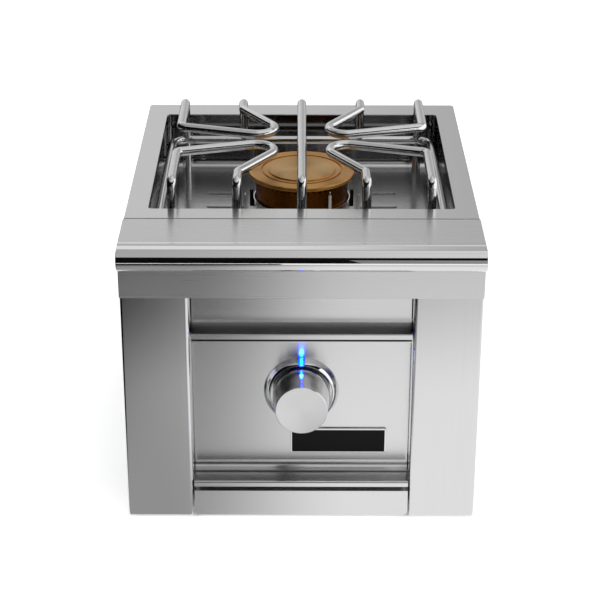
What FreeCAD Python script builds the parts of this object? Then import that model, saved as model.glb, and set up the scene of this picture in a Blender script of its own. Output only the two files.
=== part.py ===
import FreeCAD, Part
import Sketcher
import math
import os

# Built-in side burner, millimetres.
# X runs across the unit, Y from the front to the rear, Z up from the surface that it stands on.
# The origin is the middle of the footprint.

doc = FreeCAD.newDocument("SideBurner")
sheet = doc.addObject("Spreadsheet::Sheet", "Dimensions")

driving = {
    # whole unit
    "nose_width": 356, "nose_depth": 86.5, "deck_depth": 346, "deck_height": 304,
    "gauge": 1.2, "bend": 2.5, "slide_gap": 0.3,
    # deck plate
    "rim_height": 12, "rim_return": 9, "deck_corner": 4, "side_margin": 22, "front_margin": 25,
    "rear_margin": 33.5,
    # well under the grate
    "well_depth": 63, "well_gauge": 1, "well_flange": 4.5, "well_corner": 8, "well_floor_bend": 12,
    "collar_gap": 1.7, "collar_height": 21, "bead_width": 7, "bead_height": 1.4, "bead_reach": 105,
    "bead_gap": 13.5, "bead_pitch": 39,
    # front nose and fascia
    "crease_reach": 62.5, "crease_drop": 1.2, "nose_radius": 10.5, "fascia_setback": 16.5,
    "fascia_height": 55.5, "nose_end_thick": 1,
    # legs at the front
    "leg_width": 65.5, "leg_outer_return": 46, "leg_flange": 12,
    # recessed bay between the legs
    "bay_gap": 2.2, "hood_setback": 24, "hood_drop": 37.5, "hood_reach": 18, "hood_fall": 5,
    "hood_lip": 5.5, "panel_gap": 3.2, "panel_setback": 29, "panel_bend": 8, "panel_foot": 8.5,
    "rail_lip": 6, "rail_gap": 0.4, "rail_flange": 13, "finger_gap": 5, "tray_front_height": 29.5,
    "tray_foot_gap": 1, "tray_front_corner": 6,
    # knob and what shows round it
    "knob_margin": 27.8, "knob_face_radius": 26, "knob_back_radius": 29, "knob_length": 34, "knob_gap": 4.2,
    "knob_edge": 1.2, "knob_wall": 4, "knob_boss": 8, "bezel_radius": 38, "bezel_bore": 31.2,
    "bezel_height": 8, "bezel_edge": 2.4, "lamp_width": 7, "lamp_pipe": 3.5, "lamp_depth": 12,
    "lamp_inset": 0.6, "badge_width": 99, "badge_height": 29, "badge_thick": 2, "badge_corner": 4.5,
    "badge_rim": 1.4, "badge_field": 0.4, "badge_x": 38, "badge_gap": 5,
    "badge_margin": 8.4,
    # gas valve and ignition
    "stem_radius": 4, "stem_insert": 18, "stem_clearance": 0.06, "stem_in_valve": 14, "push_travel": 3,
    "collar_outer": 8, "collar_length": 6, "collar_inset": 2.6, "panel_bore": 6, "valve_setback": 14.6,
    "valve_length": 40, "valve_width": 36, "valve_height": 34, "bracket_gauge": 2, "bracket_width": 68,
    "bracket_foot": 12, "bracket_tall": 40, "module_width": 34, "module_length": 60, "module_height": 44,
    "module_setback": 87.35, "module_drop": 156, "lead_radius": 1.5, "lead_drop": 13, "lead_bend": 12,
    # gas line
    "line_radius": 7, "line_wall": 1, "line_bend": 26, "line_inset": 31.8, "fitting_radius": 7.94,
    "fitting_shoulder": 9, "fitting_length": 14, "nut_radius": 12, "nut_length": 10, "feed_radius": 4,
    "feed_bend": 9, "feed_run": 18, "feed_step": 14, "injector_radius": 6, "injector_length": 16,
    "injector_cone": 6.4, "injector_bore": 1.2, "plate_width": 34, "plate_gauge": 2, "valve_boss": 8,
    "valve_boss_radius": 9,
    # burner
    "burner_shift": 2, "cap_drop": 11.5, "cap_radius": 57.3, "cap_edge": 4.6, "cap_disc_radius": 36.5,
    "cap_groove_radius": 43, "cap_groove_width": 2.4, "cap_groove_depth": 1.4, "cap_disc_rise": 1.2,
    "cap_skirt_height": 7, "head_radius": 49.8, "head_height": 27, "head_wall": 4.5, "ports": 48,
    "port_width": 2.4, "port_depth": 5, "head_fit": 0.3, "base_radius": 42, "base_height": 70,
    "base_flange": 6, "base_wall": 5, "mixer_radius": 13, "mixer_wall": 2, "mixer_drop": 95,
    "jet_gap": 0.75, "shutter_wall": 2, "shutter_length": 16, "shutter_window": 11, "bridge_width": 24,
    "bridge_gap": 13.5, "bridge_gauge": 2, "bridge_foot": 12, "electrode_x": 30, "electrode_radius": 1.6,
    "electrode_top": 8, "electrode_hook": 2.9, "holder_half": 7, "holder_gauge": 3,
    "electrode_gap": 0.7, "electrode_below": 12, "clip_radius": 2, "clip_top": 23.5, "clip_length": 19,
    # grate of bent rod
    "rod_radius": 4.9, "rod_inset": 15, "grate_rise": 22.5, "grate_end_gap": 19.75, "ring_side_gap": 8,
    "ring_drop": 23, "ring_corner": 18, "leg_bend_inside": 0.5, "side_bend": 8, "tip_bend": 19,
    "outer_turn": 39, "inner_turn": 26, "tip_x": 6, "tip_y": 2.5,
    # casing behind and the drip tray
    "casing_flange": 15, "rear_overhang": 16, "tray_side": 11.5, "tray_length": 361,
    "tray_depth": 21, "tray_lift": 3, "tray_rim": 6, "tray_wall": 1, "tray_corner": 6, "tray_clear": 2,
    "tray_hem": 8, "runner_gap": 2, "runner_ledge": 7.5, "runner_foot": 10, "fixing_radius": 2.75,
    "fixing_pitch_y": 180, "fixing_pitch_z": 120, "shield_drop": 128, "shield_depth": 50, "shield_lip": 10,
    "screw_radius": 2, "screw_head": 4, "screw_head_height": 2.4,
}
for row, (alias, number) in enumerate(driving.items(), start=1):
    sheet.set(f"A{row}", alias)
    sheet.set(f"B{row}", str(number))
    sheet.setAlias(f"B{row}", alias)
doc.recompute()


class Size:
    # a length worked out from the sheet: its number now, and the formula that the document keeps
    def __init__(self, number, formula):
        self.number = float(number)
        self.formula = formula

    def __add__(self, other):
        other = as_size(other)
        return Size(self.number + other.number, f"({self.formula} + {other.formula})")

    def __sub__(self, other):
        other = as_size(other)
        return Size(self.number - other.number, f"({self.formula} - {other.formula})")

    def __mul__(self, other):
        other = as_size(other)
        return Size(self.number * other.number, f"({self.formula} * {other.formula})")

    def __truediv__(self, other):
        other = as_size(other)
        return Size(self.number / other.number, f"({self.formula} / {other.formula})")

    def __radd__(self, other):
        return as_size(other) + self

    def __rsub__(self, other):
        return as_size(other) - self

    def __rmul__(self, other):
        return as_size(other) * self

    def __neg__(self):
        return 0 - self


def as_size(amount):
    return amount if isinstance(amount, Size) else Size(amount, f"{amount:.9g}")


class Dimensions:
    def __getattr__(self, alias):
        return Size(sheet.get(alias), "Dimensions." + alias)


d = Dimensions()
pieces = []


def bind(item, prop, amount):
    item.setExpression(prop, as_size(amount).formula)


def piece(item, node):
    item.Label = node
    pieces.append(item)
    return item


def vector(x, y, z):
    return FreeCAD.Vector(as_size(x).number, as_size(y).number, as_size(z).number)


def box(name, low, high):
    item = doc.addObject("Part::Box", name)
    for prop, axis, start, end in zip(("Length", "Width", "Height"), "xyz", low, high):
        bind(item, prop, as_size(end) - start)
        bind(item, "Placement.Base." + axis, start)
    return item


turned = {"x": FreeCAD.Rotation(FreeCAD.Vector(0, 1, 0), 90), "z": FreeCAD.Rotation(),
          "y": FreeCAD.Rotation(FreeCAD.Vector(1, 0, 0), -90),
          "-y": FreeCAD.Rotation(FreeCAD.Vector(1, 0, 0), 90)}


def place(item, base, axis="z"):
    item.Placement = FreeCAD.Placement(vector(*base), turned[axis])
    for letter, start in zip("xyz", base):
        bind(item, "Placement.Base." + letter, start)


def cylinder(name, base, axis, radius, length):
    item = doc.addObject("Part::Cylinder", name)
    bind(item, "Radius", radius)
    bind(item, "Height", length)
    place(item, base, axis)
    return item


def cone(name, base, axis, radius, end_radius, length):
    item = doc.addObject("Part::Cone", name)
    bind(item, "Radius1", radius)
    bind(item, "Radius2", end_radius)
    bind(item, "Height", length)
    place(item, base, axis)
    return item


def fuse(name, *items):
    item = doc.addObject("Part::MultiFuse", name)
    item.Shapes = list(items)
    return item


def cut(name, base, *tools):
    item = doc.addObject("Part::Cut", name)
    item.Base = base
    item.Tool = tools[0] if len(tools) == 1 else fuse(name + "Tools", *tools)
    return item


def group(name, items):
    item = doc.addObject("Part::Compound", name)
    item.Links = list(items)
    return item


# PartDesign bodies

def body(node):
    return piece(doc.addObject("PartDesign::Body", node), node)


def sketch_on(part_body, role, name, offset=0):
    sketch = part_body.newObject("Sketcher::SketchObject", name)
    plane = [feature for feature in part_body.Origin.OriginFeatures if feature.Role == role][0]
    sketch.AttachmentSupport = [(plane, "")]
    sketch.MapMode = "FlatFace"
    bind(sketch, "AttachmentOffset.Base.z", offset)
    return sketch


def rounded_path(corners):
    # a corner is (u, v) or (u, v, radius); a rounded one becomes the two ends of its arc
    path = []
    for index, corner in enumerate(corners):
        u, v = as_size(corner[0]), as_size(corner[1])
        radius = as_size(corner[2]) if len(corner) > 2 else as_size(0)
        if radius.number < 0.05:
            path.append((u, v, None))
            continue
        before, after = corners[index - 1], corners[(index + 1) % len(corners)]
        way_in = FreeCAD.Vector(u.number - as_size(before[0]).number, v.number - as_size(before[1]).number, 0)
        way_out = FreeCAD.Vector(as_size(after[0]).number - u.number, as_size(after[1]).number - v.number, 0)
        way_in.normalize()
        way_out.normalize()
        turn = way_in.x * way_out.y - way_in.y * way_out.x
        run = radius * round(math.tan(way_in.getAngle(way_out) / 2), 9)
        side = 1 if turn > 0 else -1
        path.append((u - run * round(way_in.x, 9), v - run * round(way_in.y, 9), (radius, side, way_in)))
        path.append((u + run * round(way_out.x, 9), v + run * round(way_out.y, 9), None))
    return path


def outline(sketch, corners):
    path = rounded_path(corners)
    first = sketch.GeometryCount
    starts, shapes, rules = [], [], []
    for index, (u, v, arc) in enumerate(path):
        end_u, end_v = path[(index + 1) % len(path)][:2]
        start, end = vector(u, v, 0), vector(end_u, end_v, 0)
        if arc is None:
            shapes.append(Part.LineSegment(start, end))
            starts.append(1)
            continue
        radius, side, way_in = arc
        middle = start + FreeCAD.Vector(-way_in.y, way_in.x, 0) * (side * radius.number)
        low, high = (start, end) if side > 0 else (end, start)
        angles = [math.atan2(point.y - middle.y, point.x - middle.x) for point in (low, high)]
        circle = Part.Circle(middle, FreeCAD.Vector(0, 0, 1), radius.number)
        shapes.append(Part.ArcOfCircle(circle, angles[0], angles[1]))
        starts.append(1 if side > 0 else 2)
    sketch.addGeometry(shapes, False)
    for index in range(len(path)):
        following = (index + 1) % len(path)
        rules.append((Sketcher.Constraint("Coincident", first + index, 3 - starts[index],
                                          first + following, starts[following]), None))
    for index, (u, v, arc) in enumerate(path):
        for kind, amount in (("DistanceX", u), ("DistanceY", v)):
            rule = Sketcher.Constraint(kind, -1, 1, first + index, starts[index], amount.number)
            rules.append((rule, amount))
        if arc is not None:
            rules.append((Sketcher.Constraint("Radius", first + index, arc[0].number), arc[0]))
    number = sketch.ConstraintCount
    sketch.addConstraint([rule for rule, amount in rules])
    for rule, amount in rules:
        if amount is not None:
            bind(sketch, f"Constraints[{number}]", amount)
        number += 1


def rectangle(left, low, right, high, corner=0):
    return [(left, low, corner), (right, low, corner), (right, high, corner), (left, high, corner)]


def sheet_outline(path, thickness):
    # the closed outline of a bent sheet whose outer face follows the path, with the sheet on its left
    upright = []
    for start, end in zip(path, path[1:]):
        du = as_size(end[0]).number - as_size(start[0]).number
        dv = as_size(end[1]).number - as_size(start[1]).number
        upright.append((abs(dv) > abs(du), math.copysign(1, dv if abs(dv) > abs(du) else du)))
    inner = []
    for index, corner in enumerate(path):
        u, v = as_size(corner[0]), as_size(corner[1])
        radius = as_size(corner[2]) if len(corner) > 2 else as_size(0)
        runs = upright[max(index - 1, 0):index + 1]
        for vertical, way in runs[-1:] if len(runs) > 1 and runs[0][0] == runs[1][0] else runs:
            if vertical:
                u = u - thickness * way
            else:
                v = v + thickness * way
        if radius.number > 0:
            before, after = path[index - 1], path[index + 1]
            turn = ((as_size(corner[0]).number - as_size(before[0]).number)
                    * (as_size(after[1]).number - as_size(corner[1]).number)
                    - (as_size(corner[1]).number - as_size(before[1]).number)
                    * (as_size(after[0]).number - as_size(corner[0]).number))
            radius = radius - thickness if turn > 0 else radius + thickness
        inner.append((u, v, radius))
    return list(path) + inner[::-1]


def pad(part_body, sketch, length, middle=False, back=False):
    feature = part_body.newObject("PartDesign::Pad", "Pad")
    feature.Profile = sketch
    feature.Midplane = middle
    feature.Reversed = back
    bind(feature, "Length", length)
    return feature


def pocket(part_body, sketch, length, middle=False, back=False):
    doc.recompute()
    before = part_body.Shape.Volume
    feature = part_body.newObject("PartDesign::Pocket", "Pocket")
    feature.Profile = sketch
    feature.Midplane = middle
    feature.Reversed = back
    bind(feature, "Length", length)
    doc.recompute()
    if part_body.Shape.Volume > before - 1e-3:
        raise RuntimeError(part_body.Label + ": a pocket cuts nothing")
    return feature


def circle_on(sketch, u, v, radius):
    u, v, radius = as_size(u), as_size(v), as_size(radius)
    index = sketch.addGeometry(Part.Circle(vector(u, v, 0), FreeCAD.Vector(0, 0, 1), radius.number), False)
    number = sketch.ConstraintCount
    sketch.addConstraint([Sketcher.Constraint("DistanceX", -1, 1, index, 3, u.number),
                          Sketcher.Constraint("DistanceY", -1, 1, index, 3, v.number),
                          Sketcher.Constraint("Radius", index, radius.number)])
    for step, amount in enumerate((u, v, radius)):
        bind(sketch, f"Constraints[{number + step}]", amount)


def revolve(part_body, sketch):
    feature = part_body.newObject("PartDesign::Revolution", "Revolution")
    feature.Profile = sketch
    feature.ReferenceAxis = (sketch, ["V_Axis"])
    feature.Angle = 360
    return feature


def fillet(part_body, radius, wanted):
    doc.recompute()
    base = part_body.Tip
    names = [f"Edge{number}" for number, edge in enumerate(base.Shape.Edges, start=1) if wanted(edge)]
    feature = part_body.newObject("PartDesign::Fillet", "Fillet")
    feature.Base = (base, names)
    bind(feature, "Radius", radius)
    doc.recompute()
    return feature


def upright_edge(edge):
    return abs(edge.tangentAt(edge.FirstParameter).z) > 0.99 and edge.BoundBox.ZLength > 1


def level_edge_at(height):
    return lambda edge: edge.BoundBox.ZLength < 0.01 and abs(edge.BoundBox.ZMin - height.number) < 0.01


# places that several pieces share

top = d.deck_height
unit_depth = d.nose_depth + d.deck_depth
nose_front = -unit_depth / 2
seam = nose_front + d.nose_depth
deck_rear = seam + d.deck_depth
deck_under = top - d.gauge
post_top = deck_under - d.crease_drop
wall_top = deck_under - d.slide_gap
deck_half = d.nose_width / 2 - d.nose_end_thick
opening_half = deck_half - d.side_margin
opening_front = seam + d.front_margin
opening_rear = deck_rear - d.rear_margin
burner_y = (opening_front + opening_rear) / 2 - d.burner_shift
well_floor = top - d.well_depth
well_under = well_floor - d.well_gauge

fascia_face = nose_front + d.fascia_setback
fascia_foot = top - d.fascia_height
leg_face = fascia_face + d.gauge
leg_inner = deck_half - d.leg_width
bay_half = leg_inner - d.bay_gap
flange_face = leg_face + d.panel_setback + d.gauge

hood_face = leg_face + d.hood_setback
hood_bend_z = fascia_foot - d.hood_drop
hood_front = hood_face - d.hood_reach
hood_lip_top = hood_bend_z - d.hood_fall
hood_foot = hood_lip_top - d.hood_lip
panel_face = leg_face + d.panel_setback
panel_back = panel_face + d.gauge
panel_top = hood_foot - d.panel_gap
tray_top = d.tray_lift + d.tray_depth
tray_front_top = d.tray_foot_gap + d.tray_front_height
rail_foot = tray_front_top + d.finger_gap
rail_top = rail_foot + d.rail_lip
panel_foot_z = rail_top + d.rail_gap + d.gauge
panel_free = panel_top - panel_foot_z - d.panel_bend - d.badge_height - d.badge_gap - d.bezel_radius * 2
knob_z = panel_top - d.bezel_radius - panel_free * d.knob_margin / (d.knob_margin + d.badge_margin)
badge_z = knob_z - d.bezel_radius - d.badge_gap - d.badge_height / 2

casing_inner = opening_half + d.well_flange + d.slide_gap
casing_half = casing_inner + d.gauge
casing_front = leg_face + d.gauge
casing_rear = deck_rear - d.rear_overhang

grate_half = (opening_rear - opening_front) / 2 - d.grate_end_gap
ring_half = opening_half - d.ring_side_gap
grate_z = top + d.grate_rise
ring_z = top - d.ring_drop
cap_top = top - d.cap_drop
cap_foot = cap_top - d.cap_edge
head_foot = cap_foot - d.head_height
base_foot = head_foot - d.base_height
collar_in = d.head_radius + d.collar_gap
collar_out = collar_in + d.well_gauge
mixer_z = top - d.mixer_drop
valve_front = panel_back + d.valve_setback
valve_rear = valve_front + d.valve_length
valve_middle = valve_front + d.valve_length / 2
line_x = casing_inner - d.line_inset
feed_end = valve_rear + d.valve_boss + d.feed_run + d.feed_step
jet_y = feed_end + d.injector_length
lamp_z = knob_z + (d.bezel_bore + d.bezel_radius) / 2


def make_top_deck():
    # folded sheet plate with the well's opening, and a rim that turns down and in on three sides
    deck = body("top_deck")
    half = deck_half
    plate = sketch_on(deck, "XY_Plane", "Plate", deck_under - (d.rim_height - d.gauge))
    outline(plate, [(-half, seam), (half, seam), (half, deck_rear, d.deck_corner),
                    (-half, deck_rear, d.deck_corner)])
    pad(deck, plate, d.rim_height)
    under = sketch_on(deck, "XY_Plane", "Under", deck_under)
    outline(under, rectangle(-half + d.gauge, seam, half - d.gauge, deck_rear - d.gauge))
    pocket(deck, under, d.rim_height - d.gauge * 2)
    inner = half - d.rim_return
    floor = sketch_on(deck, "XY_Plane", "RimReturn", deck_under)
    outline(floor, rectangle(-inner, seam, inner, deck_rear - d.rim_return))
    pocket(deck, floor, d.rim_height)
    opening = sketch_on(deck, "XY_Plane", "Opening", top + d.gauge)
    side = opening_half
    outline(opening, rectangle(-side, opening_front, side, opening_rear, d.deck_corner))
    pocket(deck, opening, d.gauge * 3)


def make_well_pan():
    # drawn pan that hangs from the deck, with pressed beads in its floor
    well = body("well_shell")
    wall = d.well_gauge
    side = opening_half
    shell = sketch_on(well, "XY_Plane", "Shell", well_under)
    outline(shell, rectangle(-side - wall, opening_front - wall, side + wall, opening_rear + wall))
    pad(well, shell, deck_under - well_under)
    fillet(well, d.well_corner + wall, upright_edge)
    fillet(well, d.well_floor_bend + wall, level_edge_at(well_under))
    hollow = body("well_hollow")
    pieces.remove(hollow)
    inside = sketch_on(hollow, "XY_Plane", "Inside", well_floor)
    outline(inside, rectangle(-side, opening_front, side, opening_rear))
    pad(hollow, inside, d.well_depth)
    fillet(hollow, d.well_corner, upright_edge)
    fillet(hollow, d.well_floor_bend, level_edge_at(well_floor))
    pieces.remove(well)
    flange = box("WellFlange", (-side - d.well_flange, opening_front - d.well_flange, deck_under - wall),
                 (side + d.well_flange, opening_rear + d.well_flange, deck_under))
    beads = [bead(x, burner_y + place_y) for x in (-1, 1) for place_y in
             (-1.5 * d.bead_pitch, -0.5 * d.bead_pitch, 0.5 * d.bead_pitch, 1.5 * d.bead_pitch)]
    solid = fuse("WellSolid", cut("WellShell", fuse("WellBlock", well, flange), hollow), *beads)
    hole = cylinder("BurnerHole", (0, burner_y, well_under - wall), "z", collar_in, d.well_depth)
    wire_hole = cylinder("ElectrodeHole", (d.electrode_x, electrode_y(), well_under - wall), "z",
                         d.electrode_radius * 1.5, wall * 3)
    piece(cut("WellPan", solid, hole, wire_hole), "well_pan")


def make_collar():
    # ring on the well's floor round the burner, with two pins beside it
    outside = cylinder("CollarOutside", (0, burner_y, well_floor), "z", collar_out, d.collar_height)
    inside = cylinder("CollarInside", (0, burner_y, well_floor), "z", collar_in, d.collar_height)
    piece(cut("WellCollar", outside, inside), "well_collar")
    out = collar_out + d.clip_radius
    pins = [cylinder("Pin", (out * side, burner_y, top - d.clip_top - d.clip_length - d.cap_drop), "z",
                     d.clip_radius, d.clip_length) for side in (-1, 1)]
    piece(group("CollarPins", pins), "collar_pins")


def across(side, near, far):
    # a span beside the middle plane, in rising order of X on either side
    return (near, far) if side > 0 else (-far, -near)


def bead(side, y):
    low, high = across(side, collar_out + d.bead_gap, d.bead_reach - d.bead_width / 2)
    radius = d.bead_width / 2
    floor = well_floor - d.well_gauge / 2
    tall = d.well_gauge / 2 + d.bead_height
    return fuse("Bead", box("BeadBar", (low, y - radius, floor), (high, y + radius, floor + tall)),
                cylinder("BeadEnd", (low, y, floor), "z", radius, tall),
                cylinder("BeadEnd", (high, y, floor), "z", radius, tall))


def electrode_y():
    stand = collar_out + d.electrode_gap + d.electrode_radius
    return burner_y - math.sqrt(stand.number ** 2 - d.electrode_x.number ** 2)


def nose_path():
    # from the seam over the crease and round the nose to the fascia's foot
    under = top - d.crease_drop - d.nose_radius * 2
    return [(seam, top), (seam - d.crease_reach, top), (nose_front, top - d.crease_drop, d.nose_radius),
            (nose_front, under, d.nose_radius), (fascia_face, under, d.bend / 2), (fascia_face, fascia_foot)]


def make_front_nose():
    nose = body("front_nose")
    profile = sketch_on(nose, "YZ_Plane", "Profile")
    outline(profile, sheet_outline(nose_path(), d.gauge))
    pad(nose, profile, deck_half * 2, middle=True)


def make_nose_ends():
    # welded end plates that follow the outside of the nose
    for side, node in ((-1, "nose_end_left"), (1, "nose_end_right")):
        plate = body(node)
        profile = sketch_on(plate, "YZ_Plane", "Profile", deck_half * side)
        back = seam - d.gauge
        outline(profile, nose_path()[:-1] + [(fascia_face, fascia_foot), (leg_face, fascia_foot),
                                             (leg_face, top - d.rim_height), (back, top - d.rim_height),
                                             (back, top - d.gauge), (seam, top - d.gauge)])
        pad(plate, profile, d.nose_end_thick, back=side < 0)


def make_legs():
    # front posts of folded sheet; the inner flange carries the bay's panels and stops above the tray
    for side, node in ((-1, "leg_left"), (1, "leg_right")):
        leg = body(node)
        flange_end = (leg_inner - d.leg_flange) * side
        profile = sketch_on(leg, "XY_Plane", "Profile")
        outline(profile, leg_outline(side, leg_face + d.leg_outer_return, flange_end))
        pad(leg, profile, post_top)
        notch = sketch_on(leg, "XY_Plane", "Notch")
        near, far = flange_face - d.bend, flange_face + d.bend
        outline(notch, rectangle(flange_end - side, near, leg_inner * side, far))
        pocket(leg, notch, tray_top + d.tray_clear, back=True)


def leg_outline(side, back, flange_end):
    thick = d.gauge
    inner_round = d.bend - d.gauge
    return [(deck_half * side, back), (deck_half * side, leg_face, d.bend),
            (leg_inner * side, leg_face, d.bend),
            (leg_inner * side, flange_face), (flange_end, flange_face), (flange_end, flange_face + thick),
            ((leg_inner + thick) * side, flange_face + thick),
            ((leg_inner + thick) * side, leg_face + thick, inner_round),
            ((deck_half - thick) * side, leg_face + thick, inner_round), ((deck_half - thick) * side, back)]


def strip(node, path):
    # a folded sheet that spans the bay between the legs
    part_body = body(node)
    profile = sketch_on(part_body, "YZ_Plane", "Profile")
    outline(profile, sheet_outline(path, d.gauge))
    pad(part_body, profile, bay_half * 2, middle=True)
    return part_body


def make_bay():
    strip("hood_panel", [(hood_face, deck_under), (hood_face, hood_bend_z),
                         (hood_front, hood_lip_top, d.gauge), (hood_front, hood_foot)])
    panel = strip("control_panel", [(hood_front, panel_top), (panel_face, panel_top, d.bend),
                                    (panel_face, panel_foot_z, d.panel_bend),
                                    (panel_face - d.panel_foot, panel_foot_z)])
    bores = sketch_on(panel, "XZ_Plane", "Bores", -panel_face + d.gauge)
    circle_on(bores, 0, knob_z, d.panel_bore)
    half, low, high = d.lamp_width / 2, lamp_z - d.lamp_pipe / 2, lamp_z + d.lamp_pipe / 2
    outline(bores, rectangle(-half, low, half, high))
    pocket(panel, bores, d.gauge * 3)
    strip("lower_rail", [(panel_back, rail_top - d.rail_flange), (panel_back, rail_top, d.bend),
                         (leg_face, rail_top, d.bend), (leg_face, rail_foot)])


def make_badge():
    # blank plate with a raised rim
    badge = body("badge_plate")
    half_width, half_height = d.badge_width / 2, d.badge_height / 2

    def rounded_field(name, inset, depth_from):
        sketch = sketch_on(badge, "XZ_Plane", name, -panel_face + depth_from)
        left, right = d.badge_x - half_width + inset, d.badge_x + half_width - inset
        low, high = badge_z - half_height + inset, badge_z + half_height - inset
        corner = d.badge_corner - inset
        outline(sketch, rectangle(left, low, right, high, corner))
        return sketch

    pad(badge, rounded_field("Plate", 0, 0), d.badge_thick)
    pocket(badge, rounded_field("Field", d.badge_rim, d.badge_thick), d.badge_field)


def make_bezel_and_lamp():
    bezel = body("knob_bezel")
    profile = sketch_on(bezel, "XY_Plane", "Profile", knob_z)
    front = panel_face - d.bezel_height
    outline(profile, [(d.bezel_bore, panel_face), (d.bezel_bore, front, d.bezel_edge / 2),
                      (d.bezel_radius, front, d.bezel_edge), (d.bezel_radius, panel_face)])
    revolve(bezel, profile)
    half = d.lamp_width / 2
    slot = sketch_on(bezel, "XZ_Plane", "Slot", -front)
    low, high = knob_z + d.bezel_bore - half, knob_z + d.bezel_radius + half
    outline(slot, rectangle(-half, low, half, high))
    pocket(bezel, slot, d.bezel_height)
    lens = box("Lens", (-half, front + d.lamp_inset, knob_z + d.bezel_bore + d.lamp_inset),
               (half, panel_face, knob_z + d.bezel_radius - d.lamp_inset))
    pipe_half = d.lamp_pipe / 2
    pipe = box("LightPipe", (-half, panel_face, lamp_z - pipe_half), (half, panel_back, lamp_z + pipe_half))
    piece(fuse("LampLens", lens, pipe), "lamp_lens")
    housing = box("LampHousing", (-d.lamp_depth / 2, panel_back, lamp_z - d.lamp_width),
                  (d.lamp_depth / 2, panel_back + d.lamp_depth, lamp_z + d.lamp_width))
    piece(housing, "lamp_housing")


def make_knob():
    # hollow turned knob on the valve's stem
    knob = body("knob")
    rear = panel_face - d.knob_gap
    face = rear - d.knob_length
    inner = d.knob_back_radius - d.knob_wall
    floor = face + d.knob_wall
    start = rear - d.stem_insert
    profile = sketch_on(knob, "XY_Plane", "Profile", knob_z)
    outline(profile, [(0, face), (d.knob_face_radius, face, d.knob_edge), (d.knob_back_radius, rear),
                      (inner, rear), (inner - d.knob_wall, floor), (d.knob_boss, floor), (d.knob_boss, rear),
                      (d.stem_radius, rear), (d.stem_radius, start), (0, start)])
    revolve(knob, profile)
    piece(cylinder("Stem", (0, start, knob_z), "y", d.stem_radius, valve_front + d.stem_in_valve - start),
          "valve_stem")
    base = (0, panel_back + d.collar_inset, knob_z)
    ring = cylinder("SwitchRing", base, "y", d.collar_outer, d.collar_length)
    bore = cylinder("SwitchBore", base, "y", d.stem_radius + d.stem_clearance, d.collar_length)
    piece(cut("SwitchCollar", ring, bore), "switch_collar")


def screw(base, axis, length):
    # pan head just before the place where the shank starts
    x, y, z = base
    head = (x, y - d.screw_head_height, z) if axis == "y" else (x, y, z - d.screw_head_height)
    return fuse("Screw", cylinder("Head", head, axis, d.screw_head, d.screw_head_height),
                cylinder("Shank", base, axis, d.screw_radius, length))


def make_valve():
    half = d.valve_width / 2
    block = box("ValveBlock", (-half, valve_front, knob_z - d.valve_height / 2),
                (half, valve_rear, knob_z + d.valve_height / 2))
    outlet = cylinder("Outlet", (0, valve_rear, knob_z), "y", d.valve_boss_radius, d.valve_boss)
    inlet = cylinder("Inlet", (half, valve_middle, knob_z), "x", d.valve_boss_radius, d.valve_boss)
    bore = cylinder("StemBore", (0, valve_front, knob_z), "y", d.stem_radius + d.stem_clearance,
                    d.stem_in_valve + d.push_travel * 1.5)
    offset = half - d.screw_head
    places = [(side * offset, valve_front - d.bracket_gauge, knob_z + side * offset) for side in (-1, 1)]
    length = d.bracket_gauge + d.valve_boss
    holes = [cylinder("ScrewHole", place_at, "y", d.screw_radius, length) for place_at in places]
    piece(cut("ValveBody", fuse("ValveSolid", block, outlet, inlet), bore, *holes), "valve_body")
    piece(group("ValveScrews", [screw(place_at, "y", length) for place_at in places]), "valve_screws")
    plate_half, low, high = d.bracket_width / 2, knob_z - d.bracket_tall / 2, knob_z + d.bracket_tall / 2
    front = valve_front - d.bracket_gauge
    parts = [box("BracketPlate", (-plate_half, front, low), (plate_half, valve_front, high))]
    for side in (-1, 1):
        near, far = across(side, plate_half - d.bracket_gauge, plate_half)
        parts.append(box("BracketArm", (near, panel_back, low), (far, valve_front, high)))
        near, far = across(side, plate_half, plate_half + d.bracket_foot)
        parts.append(box("BracketFoot", (near, panel_back, low), (far, panel_back + d.bracket_gauge, high)))
    clear = cylinder("BracketBore", (0, panel_back, knob_z), "y", d.panel_bore, d.valve_setback)
    piece(cut("ValveBracket", fuse("BracketSolid", *parts), clear, *holes), "valve_bracket")


# bent tube and rod

def bent_wire(points):
    # points are (position, bend radius); each bend is an arc tangent to the runs on both sides
    edges, last = [], points[0][0]
    for (before, _), (corner, radius), (after, _) in zip(points, points[1:], points[2:]):
        way_in, way_out = corner - before, after - corner
        way_in.normalize()
        way_out.normalize()
        turn = way_in.getAngle(way_out)
        run = radius * math.tan(turn / 2)
        start, end = corner - way_in * run, corner + way_out * run
        inward = (way_out - way_in)
        inward.normalize()
        middle = corner + inward * (radius * (1 / math.cos(turn / 2) - 1))
        if (start - last).Length > 1e-6:
            edges.append(Part.LineSegment(last, start).toShape())
        edges.append(Part.Arc(start, middle, end).toShape())
        last = end
    if (points[-1][0] - last).Length > 1e-6:
        edges.append(Part.LineSegment(last, points[-1][0]).toShape())
    return Part.Wire(edges)


def swept(wire, radius):
    first = wire.Edges[0]
    start = first.valueAt(first.FirstParameter)
    way = first.tangentAt(first.FirstParameter)
    ring = Part.Wire(Part.Circle(start, way, radius).toShape())
    return wire.makePipeShell([ring], True, False)


def solid_feature(name, shape):
    item = doc.addObject("Part::Feature", name)
    item.Shape = shape
    return item


def tube(name, points, radius, wall):
    wire = bent_wire(points)
    return solid_feature(name, swept(wire, radius).cut(swept(wire, radius - wall)))


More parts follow.
